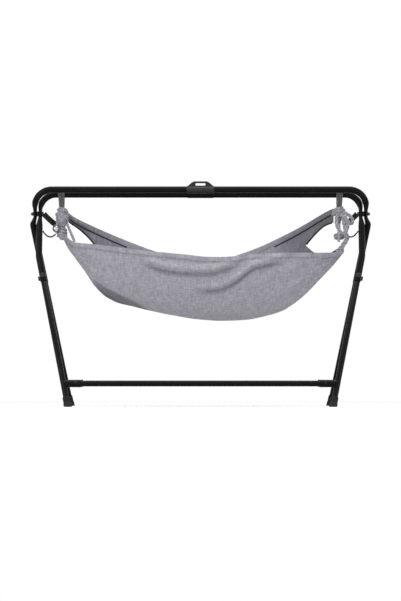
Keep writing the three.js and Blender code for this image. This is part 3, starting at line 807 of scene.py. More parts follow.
def make_sleeve():
    points, faces = grooved_sleeve(INNER_BAR, SLEEVE, SLEEVE_HALF_LENGTH, (0.0009, 0.0003), 0.0004, 0.0405)
    make_frame_piece("inner", "enamelled_bar_sleeve", points, faces, ENAMELLED, "inner_bar_sleeve", 30)


# The clip: a sleeve round the outer bar with an arched grip and a narrow window
GRIP_FOOT_HALF = 0.0527
GRIP_BEND_HALF = 0.033
GRIP_CREST_HALF = 0.022
GRIP_STEPS = 12
GRIP_BOTTOM = 0.0130
WINDOW_HALF = 0.019
WINDOW_TOP = CLIP_RISE - 0.0068
WINDOW_BOTTOM = CLIP_RISE - 0.0168
WINDOW_RADIUS = 0.0025


def clip_outline(inset):
    top = CLIP_RISE - inset
    shoulder = (CLIP - inset) * 0.6
    foot = Vector((GRIP_FOOT_HALF - inset, 0))
    start = Vector((GRIP_FOOT_HALF - inset, shoulder))
    bend = Vector((GRIP_BEND_HALF, top))
    end = Vector((GRIP_CREST_HALF, top))
    outline = [foot, start.copy()]
    for t in shares(GRIP_STEPS):
        outline.append(start * (1 - t) ** 2 + bend * (2 * t * (1 - t)) + end * t * t)
    mirrored = [Vector((-p.x, p.y)) for p in reversed(outline)]
    return outline + mirrored


def clip_window(grow):
    right = WINDOW_HALF + grow - WINDOW_RADIUS
    top = WINDOW_TOP + grow - WINDOW_RADIUS
    bottom = WINDOW_BOTTOM - grow + WINDOW_RADIUS
    outline = []
    corners = [(right, bottom, 270), (right, top, 0), (-right, top, 90), (-right, bottom, 180)]
    for centre_x, centre_z, start in corners:
        for i in range(6):
            turn = math.radians(start + 18 * i)
            outline.append(Vector((centre_x + WINDOW_RADIUS * math.cos(turn),
                                   centre_z + WINDOW_RADIUS * math.sin(turn))))
    return outline


def plate_with_window(depth_levels, bar_height):
    """A bevelled plate: the outline and the window at each depth, with the flat faces filled between them."""
    mesh = bmesh.new()
    loops = []
    for depth, inset in depth_levels:
        loops.append([[mesh.verts.new((p.x, depth, bar_height + p.y)) for p in outline]
                      for outline in (clip_outline(inset), clip_window(inset))])
    for before, after in zip(loops, loops[1:]):
        for first, second in zip(before, after):
            count = len(first)
            for i in range(count):
                k = (i + 1) % count
                mesh.faces.new((first[i], first[k], second[k], second[i]))
    for level in (loops[0], loops[-1]):
        corners = [vertex for loop in level for vertex in loop]
        for triangle in tessellate_polygon([[vertex.co for vertex in loop] for loop in level]):
            mesh.faces.new([corners[i] for i in triangle])
    bmesh.ops.recalc_face_normals(mesh, faces=mesh.faces[:])
    mesh.verts.index_update()
    points = [v.co.copy() for v in mesh.verts]
    faces = [tuple(v.index for v in f.verts) for f in mesh.faces]
    mesh.free()
    return points, faces


def make_clip():
    sleeve = grooved_sleeve(OUTER_BAR, CLIP, CLIP_HALF_LENGTH, (0.0010, 0.0004), 0.0005, 0.0445)
    bevel = [(0.0026, 0), (0.0030, 0.0002), (0.0032, 0.0007)]
    levels = [(-depth, inset) for depth, inset in reversed(bevel)] + bevel
    grip_points, grip_faces = plate_with_window(levels, OUTER_BAR)
    for p in grip_points:
        p.z = max(p.z, OUTER_BAR + GRIP_BOTTOM)
    points, faces = together(sleeve, (grip_points, grip_faces))
    make_frame_piece("outer", "moulded_bar_clip", points, faces, MOULDED, "outer_bar_clip", 30)


# Pivot: button-head bolt with a hexagon recess, nylon spacer, domed nut on a hexagon
BOLT = 0.004
SPACER = 0.0100

# The radii between which a turned ring is six-sided
RECESS_RADII = (0, 0.003)
NUT_RADII = (0.0065, 0.0100)


def turned_with_hexagon(profile, base, out, six_sided):
    side = out.orthogonal().normalized()
    rings = []
    for radius, distance in profile:
        centre = base + out * distance
        ring = []
        for p in flat_ring(centre, out, side, 1, 1, ROUND):
            ray = p - centre
            turn = math.atan2(ray.z, ray.y)
            flank = math.cos(math.pi / 6) / math.cos((turn % (math.pi / 3)) - math.pi / 6)
            size = radius * (flank if six_sided[0] < radius < six_sided[1] else 1)
            ring.append(centre + ray * max(size, POLE))
        rings.append(ring)
    return joined_rings(rings)


def make_pivot(word):
    side = SIDES[word]
    out = Vector((side, 0, 0))
    inner_face = Vector((side * (INNER_PIVOT - FLAT_HALF_WIDTH), 0, PIVOT_HEIGHT))
    outer_face = Vector((side * (OUTER_PIVOT + FLAT_HALF_WIDTH), 0, PIVOT_HEIGHT))
    shank = (outer_face - inner_face).length + 0.006
    profile = [(0, -0.0038), (0.0026, -0.0038), (0.0027, -0.0060), (0.0042, -0.0060), (0.0062, -0.0053),
               (0.0076, -0.0040), (0.0084, -0.0022), (0.0085, -0.0006), (0.0083, -0.0003), (BOLT, -0.0003),
               (BOLT, shank - 0.0006), (BOLT - 0.0006, shank), (0, shank)]
    points, faces = turned_with_hexagon(profile, inner_face, out, RECESS_RADII)
    bolt = make_piece(f"button_bolt_{word}", points, faces, STEEL, 30)
    ride_and_replace(bolt, "inner_stand", f"pivot_bolt_{word}")

    gap_start = Vector((side * (INNER_PIVOT + FLAT_HALF_WIDTH + SLIP), 0, PIVOT_HEIGHT))
    gap = OUTER_PIVOT - INNER_PIVOT - 2 * (FLAT_HALF_WIDTH + SLIP)
    wall = [(SPACER - 0.0005, 0), (SPACER, 0.0005), (SPACER, gap - 0.0005), (SPACER - 0.0005, gap)]
    hollow = [(BOLT + SLIP, gap), (BOLT + SLIP, 0)]
    points, faces = tube_wall(wall, hollow, gap_start, out)
    spacer = make_piece(f"nylon_spacer_{word}", points, faces, MOULDED, 30)
    ride_and_replace(spacer, "inner_stand", f"pivot_spacer_{word}")

    dome = [(BOLT, 0.0060), (0.0041, 0.0004), (0.0072, 0.0003), (0.0075, 0.0006), (0.0075, 0.0040),
            (0.0070, 0.0045), (0.0058, 0.0046), (0.0056, 0.0058), (0.0048, 0.0076), (0.0034, 0.0087),
            (0.0016, 0.0092), (0, 0.0093)]
    points, faces = turned_with_hexagon(dome, outer_face, out, NUT_RADII)
    nut = make_piece(f"domed_nut_{word}", points, faces, STEEL, 25)
    ride_and_replace(nut, "inner_stand", f"pivot_cap_nut_{word}")


# Ropes and seams are made with Geometry Nodes
STRAND_FACETS = 8
STITCH_FACETS = 6
STITCH_RINGS = 4


def new_group(name, lengths):
    """A tree that takes a curve, named lengths and a material, with its input node and identifiers."""
    group = bpy.data.node_groups.new(name, "GeometryNodeTree")
    sockets = group.interface
    sockets.new_socket(name="Curve", in_out="INPUT", socket_type="NodeSocketGeometry")
    ids = {}
    for label, value in lengths.items():
        socket = sockets.new_socket(name=label, in_out="INPUT", socket_type="NodeSocketFloat")
        socket.default_value = value
        ids[label] = socket.identifier
    socket = sockets.new_socket(name="Material", in_out="INPUT", socket_type="NodeSocketMaterial")
    ids["Material"] = socket.identifier
    sockets.new_socket(name="Geometry", in_out="OUTPUT", socket_type="NodeSocketGeometry")
    return group, group.nodes.new("NodeGroupInput"), ids


def finish_group(group, start, made):
    """Realize the instances, give them the material and hand them out."""
    real = add_node(group, "GeometryNodeRealizeInstances", Geometry=made)
    coloured = add_node(group, "GeometryNodeSetMaterial", Geometry=real.outputs["Geometry"],
                        Material=start.outputs["Material"])
    add_node(group, "NodeGroupOutput", Geometry=coloured.outputs["Geometry"])


# Three strands laid round the path
def make_rope_group():
    group, start, ids = new_group(
        "laid_rope", {"Strand radius": 0.002, "Strand offset": 0.002, "Lay length": 0.03})
    place = group.nodes.new("GeometryNodeSplineParameter")
    turns = math_node(group, "DIVIDE", place.outputs["Length"], start.outputs["Lay length"])
    tilted_curve = add_node(group, "GeometryNodeSetCurveTilt", Curve=start.outputs["Curve"],
                            Tilt=math_node(group, "MULTIPLY", turns, 2 * math.pi))
    circle = add_node(group, "GeometryNodeCurvePrimitiveCircle", Resolution=STRAND_FACETS,
                      Radius=start.outputs["Strand radius"])
    shift = add_node(group, "ShaderNodeCombineXYZ", X=start.outputs["Strand offset"])
    strand = add_node(group, "GeometryNodeTransform", Geometry=circle.outputs["Curve"],
                      Translation=shift.outputs["Vector"])
    strands = group.nodes.new("GeometryNodeJoinGeometry")
    for third in range(3):
        turned = add_node(group, "GeometryNodeTransform", Geometry=strand.outputs["Geometry"],
                          Rotation=(0, 0, third * 2 * math.pi / 3))
        feed(group, strands, Geometry=turned.outputs["Geometry"])
    swept = add_node(group, "GeometryNodeCurveToMesh", Curve=tilted_curve.outputs["Curve"],
                     Profile_Curve=strands.outputs["Geometry"], Fill_Caps=True)
    finish_group(group, start, swept.outputs["Mesh"])
    return group, ids


# Beads of thread, lying end to end along the path with a little space between
def make_stitch_group():
    group, start, ids = new_group(
        "stitched_seam", {"Stitch spacing": 0.004, "Stitch length": 0.0014, "Thread radius": 0.0004})
    spaced = group.nodes.new("GeometryNodeResampleCurve")
    spaced.mode = "LENGTH"
    feed(group, spaced, Curve=start.outputs["Curve"], Length=start.outputs["Stitch spacing"])
    bead = add_node(group, "GeometryNodeMeshUVSphere", Segments=STITCH_FACETS, Rings=STITCH_RINGS, Radius=1)
    way = group.nodes.new("GeometryNodeInputTangent")
    turned = add_node(group, "FunctionNodeAlignRotationToVector", Vector=way.outputs["Tangent"])
    turned.axis = "X"
    thread = start.outputs["Thread radius"]
    size = add_node(group, "ShaderNodeCombineXYZ", X=start.outputs["Stitch length"], Y=thread, Z=thread)
    placed = add_node(group, "GeometryNodeInstanceOnPoints", Points=spaced.outputs["Curve"],
                      Instance=bead.outputs["Mesh"], Rotation=turned.outputs["Rotation"],
                      Scale=size.outputs["Vector"])
    finish_group(group, start, placed.outputs["Instances"])
    return group, ids


ROPE_GROUP = make_rope_group()
STITCH_GROUP = make_stitch_group()


def curve_object(name, paths):
    data = bpy.data.curves.new(name, "CURVE")
    data.dimensions = "3D"
    for path in paths:
        spline = data.splines.new("POLY")
        spline.points.add(len(path) - 1)
        for point, place in zip(spline.points, path):
            point.co = (*place, 1)
    return linked_piece(name, data)


def plain_mesh(holder):
    """The mesh that an object's modifiers make, once the object itself is gone."""
    bpy.context.view_layer.update()
    depsgraph = bpy.context.evaluated_depsgraph_get()
    mesh = bpy.data.meshes.new_from_object(holder.evaluated_get(depsgraph))
    bpy.data.objects.remove(holder)
    return mesh


def made_by_nodes(name, paths, group_and_ids, lengths, look):
    group, ids = group_and_ids
    material, slot = look
    holder = curve_object(name + "_paths", paths)
    modifier = holder.modifiers.new("made", "NODES")
    modifier.node_group = group
    for label, value in lengths.items():
        modifier[ids[label]] = value
    modifier[ids["Material"]] = material
    mesh = plain_mesh(holder)
    mesh.name = name
    piece = linked_piece(name, mesh)
    finish_shading(piece, 60)
    return piece


def make_rope(name, paths, radius, look=ROPED):
    lengths = {"Strand radius": radius * 0.56, "Strand offset": radius * 0.50, "Lay length": radius * 7}
    return made_by_nodes(name, paths, ROPE_GROUP, lengths, look)


def make_seam(name, paths, look=SEWN, spacing=0.0042):
    lengths = {"Stitch spacing": spacing, "Stitch length": spacing * 0.36, "Thread radius": 0.00045}
    return made_by_nodes(name, paths, STITCH_GROUP, lengths, look)


def even_path(corners, step):
    """Points a step apart on a smooth curve through the corners."""
    smooth = []
    count = len(corners)
    for i in range(count - 1):
        before = corners[max(i - 1, 0)]
        start = corners[i]
        end = corners[i + 1]
        after = corners[min(i + 2, count - 1)]
        for s in range(24):
            t = s / 24
            square = 2 * before - 5 * start + 4 * end - after
            cube = 3 * start - before - 3 * end + after
            smooth.append(0.5 * (2 * start + (end - before) * t + square * t * t + cube * t ** 3))
    smooth.append(corners[-1].copy())
    lengths = [0.0]
    for before, after in zip(smooth, smooth[1:]):
        lengths.append(lengths[-1] + (after - before).length)
    total = lengths[-1]
    steps = max(3, round(total / step))
    path = []
    k = 0
    for s in range(steps + 1):
        want = total * s / steps
        while k < len(lengths) - 2 and lengths[k + 1] < want:
            k += 1
        span = lengths[k + 1] - lengths[k]
        path.append(smooth[k].lerp(smooth[k + 1], (want - lengths[k]) / span if span else 0))
    return path


# Cords first: the thin stay cords and the loose rope tails
TAILS = {
    "left": {"x": -0.513, "lean": 0.42},
    "right": {"x": 0.532, "lean": 0},
}


def make_stay_cord(word):
    side = SIDES[word]
    start = FRAMES["inner"]["matrix"] @ Vector((side * INNER_WAIST, 0, -0.070))
    start.x -= side * (TUBE + 4 * SLIP)
    end = Vector((side * STAY_REACH, HANG_DEPTH, STAY_CORD_HEIGHT))
    path = sagging_line(start, end, STAY_CORD_SAG, 24)
    cord = make_rope(f"stay_line_{word}", [path], 0.0031, CORDED)
    ride_and_replace(cord, "inner_stand", f"stay_cord_{word}")


def make_tail(word):
    tail_shape = TAILS[word]
    depth = HANG_DEPTH - KNOT_HALF_DEPTH * 0.90 - 0.0050
    top = KNOT_HEIGHT + 0.0020
    corners = []
    for share in (0, 0.2, 0.45, 0.7, 1):
        corners.append(Vector((tail_shape["x"] + TAIL_LENGTH * tail_shape["lean"] * share,
                               depth - 0.004 * math.sin(share * math.pi / 2),
                               top - TAIL_LENGTH * share)))
    path = even_path(corners, 0.0025)
    tail = make_rope(f"rope_tail_{word}", [path], 0.0056)
    ride_and_replace(tail, "cradle", f"cradle_tail_{word}")


for word in SIDES:
    make_stay_cord(word)
    make_tail(word)

for key in FRAMES:
    for word in SIDES:
        make_tube(key, word)
        make_leg(key, word)
        make_knob(key, word)
        make_socket(key, word)
        make_socket_screw(key, word)
        make_foot(key, word)
    make_crossbar(key)
make_sleeve()
make_clip()
for word in SIDES:
    make_pivot(word)

# The cradle cloth. A place on it has a share of the way along, from -1 at the left end to 1 at the right, and
# a turn round the trough, from -1 at the near rim to 1 at the far rim. First the heights of the rims and the
# underside, by x.
NEAR_RIM = curve_through([
    (-0.528, 0.668), (-0.505, 0.642), (-0.483, 0.630), (-0.408, 0.621), (-0.275, 0.602), (-0.164, 0.589),
    (-0.053, 0.578), (0.021, 0.570), (0.065, 0.569), (0.131, 0.572), (0.175, 0.580), (0.286, 0.586),
    (0.400, 0.588), (0.508, 0.591), (0.538, 0.598), (0.552, 0.606)])
FAR_RIM = curve_through([
    (-0.516, 0.752), (-0.496, 0.735), (-0.412, 0.694), (-0.293, 0.645), (-0.208, 0.613), (-0.120, 0.586),
    (0.000, 0.566), (0.070, 0.562), (0.131, 0.583), (0.220, 0.615), (0.308, 0.654), (0.397, 0.699),
    (0.464, 0.738), (0.500, 0.757), (0.527, 0.766)])
UNDERSIDE = curve_through([
    (-0.528, 0.648), (-0.513, 0.617), (-0.489, 0.582), (-0.443, 0.520), (-0.408, 0.467), (-0.363, 0.423),
    (-0.319, 0.400), (-0.230, 0.376), (-0.142, 0.356), (-0.053, 0.339), (0.021, 0.331), (0.087, 0.328),
    (0.175, 0.331), (0.273, 0.352), (0.317, 0.369), (0.352, 0.391), (0.397, 0.427), (0.464, 0.497),
    (0.508, 0.542), (0.552, 0.596)])

# The openings at the ends: turns of their lower and upper edges, by the share along
GAP_START = 0.795
BAND_TURN = 0.80
GAP_LOWER = curve_through([(GAP_START, BAND_TURN), (0.825, 0.73), (0.87, 0.62), (0.92, 0.50), (1.0, 0.40)])
GAP_UPPER = curve_through([(GAP_START, BAND_TURN), (0.86, 0.84), (0.93, 0.862), (1.0, 0.84)])

# The section of the trough: the turn up to which the two rims' heights blend, how fast the width shrinks
# towards the ends, and how full the section is in the middle
RIM_BLEND = 0.35
NARROWING = 2.2
MIDDLE_FULLNESS = 0.86

# Sizes of the creases, the gathers and the puckers along the hems, in metres
CREASE_HALF_WIDTH = 0.006
ROLL_OFFSET = 0.017
ROLL_HALF_WIDTH = 0.012
FIRST_DEPTH = 0.0075
FIRST_ROLL = 0.0100
SECOND_DEPTH = 0.0085
SECOND_ROLL = 0.0115
GATHER_SIZE = 0.0050
FINE_GATHER_SIZE = 0.0022
SWELL_SIZE = 0.0034
RIPPLE_SIZE = 0.0013
NEAR_PUCKER_SIZE = 0.0060
NEAR_PUCKER_REACH = 0.036
FAR_PUCKER_SIZE = 0.0045
FAR_PUCKER_REACH = 0.030
FOLD_DEPTH = 0.045
NEAR_SEED = 1.1
FAR_SEED = 5.1

# Heights of the two creases and of the turned-under part on the left, along x
FIRST_CREASE = curve_through([(-0.24, 0.552), (-0.13, 0.517), (-0.06, 0.508), (0.01, 0.505), (0.11, 0.526),
                              (0.17, 0.560)])
SECOND_CREASE = curve_through([(-0.02, 0.440), (0.06, 0.443), (0.13, 0.472), (0.205, 0.527), (0.27, 0.543),
                               (0.34, 0.560)])
LEFT_FOLD = curve_through([(-0.44, 0.514), (-0.428, 0.503), (-0.396, 0.482), (-0.366, 0.462), (-0.320, 0.438),
                           (-0.276, 0.418), (-0.230, 0.395), (-0.205, 0.381), (-0.15, 0.352)])


TURN_STEP = 0.01


def window_between(value, low, high, ease):
    """1 between low and high, easing down to 0 at both."""
    return smooth_share(value, low, low + ease) * (1 - smooth_share(value, high - ease, high))


def bell(off, width):
    return math.exp(-(off / width) ** 2)


def crease(height, line, depth, roll):
    """A valley on the line with a soft roll of cloth lying over it."""
    off = height - line
    return roll * bell(off - ROLL_OFFSET, ROLL_HALF_WIDTH) - depth * bell(off, CREASE_HALF_WIDTH)


def pucker(x, from_rim, seed):
    return noise.noise(Vector((x * 48, from_rim * 10, seed)))


def cloth_plain(share, turn):
    """The cloth's middle surface without its wrinkles."""
    away = abs(share)
    near_reach = NEAR_RIGHT_REACH if share > 0 else NEAR_LEFT_REACH
    x = share * (near_reach + (FAR_REACH - near_reach) * smooth_share(turn, 0.1, 0.7))
    half_width = CLOTH_HALF_WIDTH + (CLOTH_END_HALF_WIDTH - CLOTH_HALF_WIDTH) * away ** NARROWING
    rim = NEAR_RIM(x) if turn < 0 else FAR_RIM(x)
    low = UNDERSIDE(x) + 0.002
    if abs(turn) < RIM_BLEND:
        blend = smooth_share(turn, -RIM_BLEND, RIM_BLEND)
        rim = NEAR_RIM(x) * (1 - blend) + FAR_RIM(x) * blend
    angle = turn * math.pi / 2
    fullness = MIDDLE_FULLNESS + (1 - MIDDLE_FULLNESS) * away
    swing = math.sin(angle)
    swing = math.copysign(abs(swing) ** fullness, swing)
    return Vector((x, HANG_DEPTH + half_width * swing, rim - (rim - low) * math.cos(angle)))


def wrinkle(share, turn, place, from_near, from_far):
    """How far the cloth stands out of its plain surface."""
    away = abs(share)
    x = place.x
    loose = 1 - smooth_share(away, 0.62, 1)
    phase = 1.6 * noise.noise(Vector((share * 3.1, turn * 1.3, 0.4)))
    size = (GATHER_SIZE * smooth_share(away, 0.30, 0.85) * (0.5 + 0.5 * loose)
            * math.cos(turn * math.pi * 7 + phase) * (1 - turn * turn))
    size += (FINE_GATHER_SIZE * smooth_share(away, 0.5, 0.95)
             * math.cos(turn * math.pi * 17 + 3 * phase) * (1 - turn ** 4))
    size += SWELL_SIZE * noise.noise(Vector((x * 5, turn * 2.2, 3.3))) * loose
    size += RIPPLE_SIZE * noise.noise(Vector((x * 17, turn * 7, 7.9)))
    if turn < 0:
        first = crease(place.z, FIRST_CREASE(x), FIRST_DEPTH, FIRST_ROLL)
        second = crease(place.z, SECOND_CREASE(x), SECOND_DEPTH, SECOND_ROLL)
        size += first * window_between(x, -0.25, 0.18, 0.09) + second * window_between(x, -0.03, 0.33, 0.07)
        hemmed = math.exp(-from_near / NEAR_PUCKER_REACH)
        size += NEAR_PUCKER_SIZE * hemmed * loose * pucker(x, from_near, NEAR_SEED)
    else:
        hemmed = math.exp(-from_far / FAR_PUCKER_REACH)
        size += FAR_PUCKER_SIZE * hemmed * loose * pucker(x, from_far, FAR_SEED)
    return size


def outward_normal(ahead, behind, turn):
    """The way out of the trough, from two places to both sides of a turn."""
    way = ahead - behind
    out = Vector((0, way.z, -way.y)).normalized()
    inward = out.y * math.sin(turn * math.pi / 2) < 0
    return -out if inward or (abs(turn) < 0.05 and out.z > 0) else out


def cloth_point(share, turn, from_near, from_far):
    place = cloth_plain(share, turn)
    ahead = cloth_plain(share, min(turn + TURN_STEP, 1))
    behind = cloth_plain(share, max(turn - TURN_STEP, -1))
    place = place + outward_normal(ahead, behind, turn) * wrinkle(share, turn, place, from_near, from_far)
    below = LEFT_FOLD(place.x) - place.z
    if turn < 0.2 and below > 0:
        hold = window_between(place.x, -0.45, -0.13, 0.07)
        place.y += min(below * 1.5, FOLD_DEPTH) * hold * (1 - smooth_share(turn, -0.25, 0.2))
    return place


def cloth_shade(share, turn, place, from_near):
    """How much painted shade darkens the yarn, from 0 to 1: in the creases, the hem's puckers and seam line,
    on the part turned under on the left, and inside the far panel and under the band towards the ends.
    """
    x = place.x
    away = abs(share)
    shade = 0.0
    # Painted shade in the two creases, in the hollows of the hem's puckers and along the hem's seam line
    if turn < 0.05:
        first = bell(place.z - FIRST_CREASE(x) + 0.005, 0.009) * window_between(x, -0.27, 0.20, 0.11)
        second = bell(place.z - SECOND_CREASE(x) + 0.006, 0.009) * window_between(x, -0.05, 0.35, 0.09)
        pucker_shade = max(0.0, pucker(x, from_near, NEAR_SEED)) * math.exp(-from_near / 0.03)
        seam = bell(from_near - HEM_WIDTH, 0.0022)
        shade = max(0.42 * first, 0.42 * second, 0.55 * pucker_shade, 0.30 * seam)
    # Painted shade on the part turned under on the left
    below = LEFT_FOLD(x) - place.z
    if turn < 0.3 and below > 0:
        shade = max(shade, 0.66 * smooth_share(below, -0.002, 0.011) * window_between(x, -0.45, -0.15, 0.08))
    # Painted shade inside the far panel towards the ends, deeper on the right, and under the band by the
    # openings
    if turn > 0.3:
        painted_end_shade = (0.50 if share > 0 else 0.26) * smooth_share(away, 0.46, 0.80)
        painted_gap_shade = 0.66 * smooth_share(away, 0.74, 0.90) * smooth_share(turn, 1.0, 0.93)
        shade = max(shade, painted_end_shade, painted_gap_shade)
    return shade


SECTION_SAMPLES = 140
HEM_PLACES = [0, 0.04, 0.30, 0.62, 0.92, 1.0, 1.07]
LOWER_ROWS = 84
UPPER_ROWS = 10
STATIONS = 236
CLOTH_HALF_LENGTH = 0.62


def section_rows(share, low_turn, high_turn, full_low, full_high):
    """Turns and distances from both rims for a station, closer together where a rim has its hem."""
    turns = [2 * part - 1 for part in shares(SECTION_SAMPLES)]
    points = [cloth_plain(share, t) for t in turns]
    run = [0.0]
    for before, after in zip(points, points[1:]):
        run.append(run[-1] + (after - before).length)
    total = run[-1]

    def run_at(turn):
        place = (turn + 1) / 2 * SECTION_SAMPLES
        i = min(int(place), SECTION_SAMPLES - 1)
        return run[i] + (run[i + 1] - run[i]) * (place - i)

    def turn_at(distance):
        distance = min(max(distance, 0), total)
        i = 0
        while i < SECTION_SAMPLES - 1 and run[i + 1] < distance:
            i += 1
        span = run[i + 1] - run[i]
        return turns[i] + (turns[i + 1] - turns[i]) * ((distance - run[i]) / span if span else 0)

    start = run_at(low_turn)
    end = run_at(high_turn)
    hem = min(HEM_WIDTH, 0.22 * (end - start))
    marks = []
    if full_low:
        marks += [start + hem * place for place in HEM_PLACES]
        start = marks.pop()
    tail = []
    if full_high:
        tail = [end - hem * place for place in reversed(HEM_PLACES)]
        end = tail.pop(0)
    inner = LOWER_ROWS if full_low else UPPER_ROWS
    marks += [start + (end - start) * part for part in shares(inner)]
    marks += tail
    return [(turn_at(m), m, total - m) for m in marks]


def split_turn(away, lower):
    """The turn where the lower and the upper part of the cloth meet, or part round an opening."""
    if away <= GAP_START:
        return BAND_TURN
    return GAP_LOWER(away) if lower else GAP_UPPER(away)


def cloth_mesh():
    """The cloth's middle surface, with the share of its full thickness at each point."""
    stations = [2 * share - 1 for share in shares(STATIONS)]
    points = []
    uvs = []
    weights = []
    shades = []
    faces = []
    for lower in (True, False):
        first = len(points)
        rows = 0
        for share in stations:
            split = split_turn(abs(share), lower)
            low, high = (-1, split) if lower else (split, 1)
            marks = section_rows(share, low, high, lower, not lower)
            rows = len(marks)
            for turn, from_near, from_far in marks:
                points.append(cloth_point(share, turn, from_near, from_far))
                shades.append(cloth_shade(share, turn, points[-1], from_near))
                uvs.append((share * CLOTH_HALF_LENGTH, from_near))
                hemmed = min(from_near, from_far) < HEM_WIDTH * 0.97
                weights.append(1.0 if hemmed else 0.55)
        for i in range(STATIONS):
            for j in range(rows - 1):
                a = first + i * rows + j
                b = a + rows
                faces.append((a, b, b + 1, a + 1))
    mesh = bpy.data.meshes.new("sling_cloth")
    mesh.from_pydata([tuple(p) for p in points], [], faces)
    add_yarn_map(mesh, uvs)
    # The painted shade goes on the mesh as the attribute "shade", which the cloth's material reads
    mesh.attributes.new("shade", "FLOAT", "POINT").data.foreach_set("value", shades)
    mesh.materials.append(CLOTH)
    return mesh, weights


def make_cloth():
    mesh, weights = cloth_mesh()
    area = sum(polygon.area for polygon in mesh.polygons)
    sheet = linked_piece("sling_cloth", mesh)
    group = sheet.vertex_groups.new(name="hems")
    for index, weight in enumerate(weights):
        group.add([index], weight, "REPLACE")
    weld = sheet.modifiers.new("weld", "WELD")
    weld.merge_threshold = 0.00002
    wall = sheet.modifiers.new("wall", "SOLIDIFY")
    wall.thickness = CLOTH_THICKNESS
    wall.offset = 0
    wall.vertex_group = "hems"
    solid = plain_mesh(sheet)
    solid.name = "sling_cloth"
    piece = linked_piece("sling_cloth", solid)
    finish_shading(piece, 50)
    ride_and_replace(piece, "cradle", "cradle_cloth")
    return piece, area


def on_cloth(share, edge, distance, lift):
    """A place on the cloth at a distance from one rim, lifted off outwards, or inwards if negative."""
    rows = section_rows(share, -1, 1, False, False)
    total = rows[-1][1]
    from_near = distance if edge == "near" else total - distance
    i = 0
    while i < len(rows) - 2 and rows[i + 1][1] < from_near:
        i += 1
    span = rows[i + 1][1] - rows[i][1]
    part = (from_near - rows[i][1]) / span if span else 0
    turn = rows[i][0] + (rows[i + 1][0] - rows[i][0]) * part
    from_far = total - from_near
    place = cloth_point(share, turn, from_near, from_far)
    ahead = cloth_point(share, min(turn + TURN_STEP, 1), from_near, from_far)
    behind = cloth_point(share, max(turn - TURN_STEP, -1), from_near, from_far)
    return place + outward_normal(ahead, behind, turn) * lift


sling, sling_area = make_cloth()

# Hem stitching, inside and out, on both rims
HEM_END = 0.9
HEM_STATIONS = 150
THREAD_LIFT = 0.0019
hem_lines = []
for edge in ("near", "far"):
    for lift in (THREAD_LIFT, -THREAD_LIFT):
        stations = [HEM_END * (2 * share - 1) for share in shares(HEM_STATIONS)]
        hem_lines.append([on_cloth(station, edge, STITCH_INSET, lift) for station in stations])
stitches = make_seam("hem_stitches", hem_lines)
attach(stitches, "cradle")


# Dark piping along the band that goes up to the loops, and along the seam above it
EDGE_PIPING = 0.0020
SEAM_PIPING = 0.0016
PIPING_STEP = 0.004
BAND_SEAM = 0.785
SEAM_LIFT = 0.0017

# Distances from the near and the far rim at which the hems' puckers have died out
DEEP_IN_CLOTH = (0.3, 0.1)


def piping_shell(path, half):
    smooth = even_path(path, PIPING_STEP)
    ahead = Vector((0, 1, 0))
    rings = [flat_ring(p, t, ahead, half * 1.5, half, 10) for p, t in zip(smooth, path_tangents(smooth))]
    return joined_rings(rings)


def make_piping(word):
    side = SIDES[word]
    edge_path = []
    for share in shares(29):
        away = 0.800 + 0.190 * share
        edge_path.append(cloth_point(side * away, GAP_UPPER(away), *DEEP_IN_CLOTH))
    seam_path = []
    for share in shares(39):
        away = 0.56 + 0.42 * share
        seam_path.append(on_cloth(side * away, "far", 0.030 - 0.008 * away, -SEAM_PIPING))
    points, faces = together(piping_shell(edge_path, EDGE_PIPING), piping_shell(seam_path, SEAM_PIPING))
    piping = make_piece(f"band_piping_{word}", points, faces, WEBBING, 60, uvs=[(p.x, p.z) for p in points])
    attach(piping, "cradle")
    cross = []
    for share in shares(11):
        place = cloth_point(side * BAND_SEAM, 0.82 + 0.17 * share, *DEEP_IN_CLOTH)
        cross.append(place + Vector((0, -SEAM_LIFT, 0)))
    seam = make_seam(f"band_seam_{word}", [cross], spacing=0.0036)
    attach(seam, "cradle")


for word in SIDES:
    make_piping(word)


# Knots: the gathered cloth, bound with rope. The left one is a full lump. The right one is slim, with an open
# bow: two loops and a pair of strands down to the cloth's corner, each as x, depth from the bar and height.
OPEN_BOW_GIRTH = 0.38
OPEN_BOW = [
    [(0.532, -0.014, 0.748), (0.524, -0.024, 0.728), (0.524, -0.028, 0.700), (0.534, -0.027, 0.676),
     (0.548, -0.024, 0.664), (0.560, -0.026, 0.674), (0.566, -0.028, 0.696), (0.560, -0.028, 0.718),
     (0.546, -0.024, 0.732), (0.532, -0.016, 0.738)],
    [(0.538, -0.016, 0.742), (0.552, -0.020, 0.744), (0.570, -0.020, 0.736), (0.583, -0.018, 0.722),
     (0.584, -0.018, 0.708), (0.576, -0.020, 0.702), (0.568, -0.020, 0.712), (0.556, -0.018, 0.726),
     (0.542, -0.016, 0.734)],
    [(0.548, -0.020, 0.726), (0.552, -0.024, 0.704), (0.556, -0.024, 0.682), (0.558, -0.022, 0.660),
     (0.561, -0.020, 0.644), (0.548, -0.016, 0.622), (0.536, -0.012, 0.606), (0.522, -0.010, 0.596)],
    [(0.560, -0.014, 0.664), (0.566, -0.014, 0.648), (0.556, -0.010, 0.628), (0.544, -0.008, 0.610),
     (0.534, -0.006, 0.598)],
]

# Height above the floor and share of the knot's full girth
KNOT_GIRTH = curve_through([
    (KNOT_FOOT, 0.20), (0.648, 0.50), (0.656, 0.66), (0.668, 0.72), (0.680, 0.68), (0.690, 0.58),
    (0.698, 0.62), (0.708, 0.82), (0.720, 0.96), (0.734, 1.0), (0.746, 0.90), (0.756, 0.66),
    (0.764, 0.42), (KNOT_TOP, 0.20)])
KNOT_LEVELS = 44
KNOT_WAIST = 0.703
BINDING_STEP = 0.0022
BINDING_CORNERS = 18

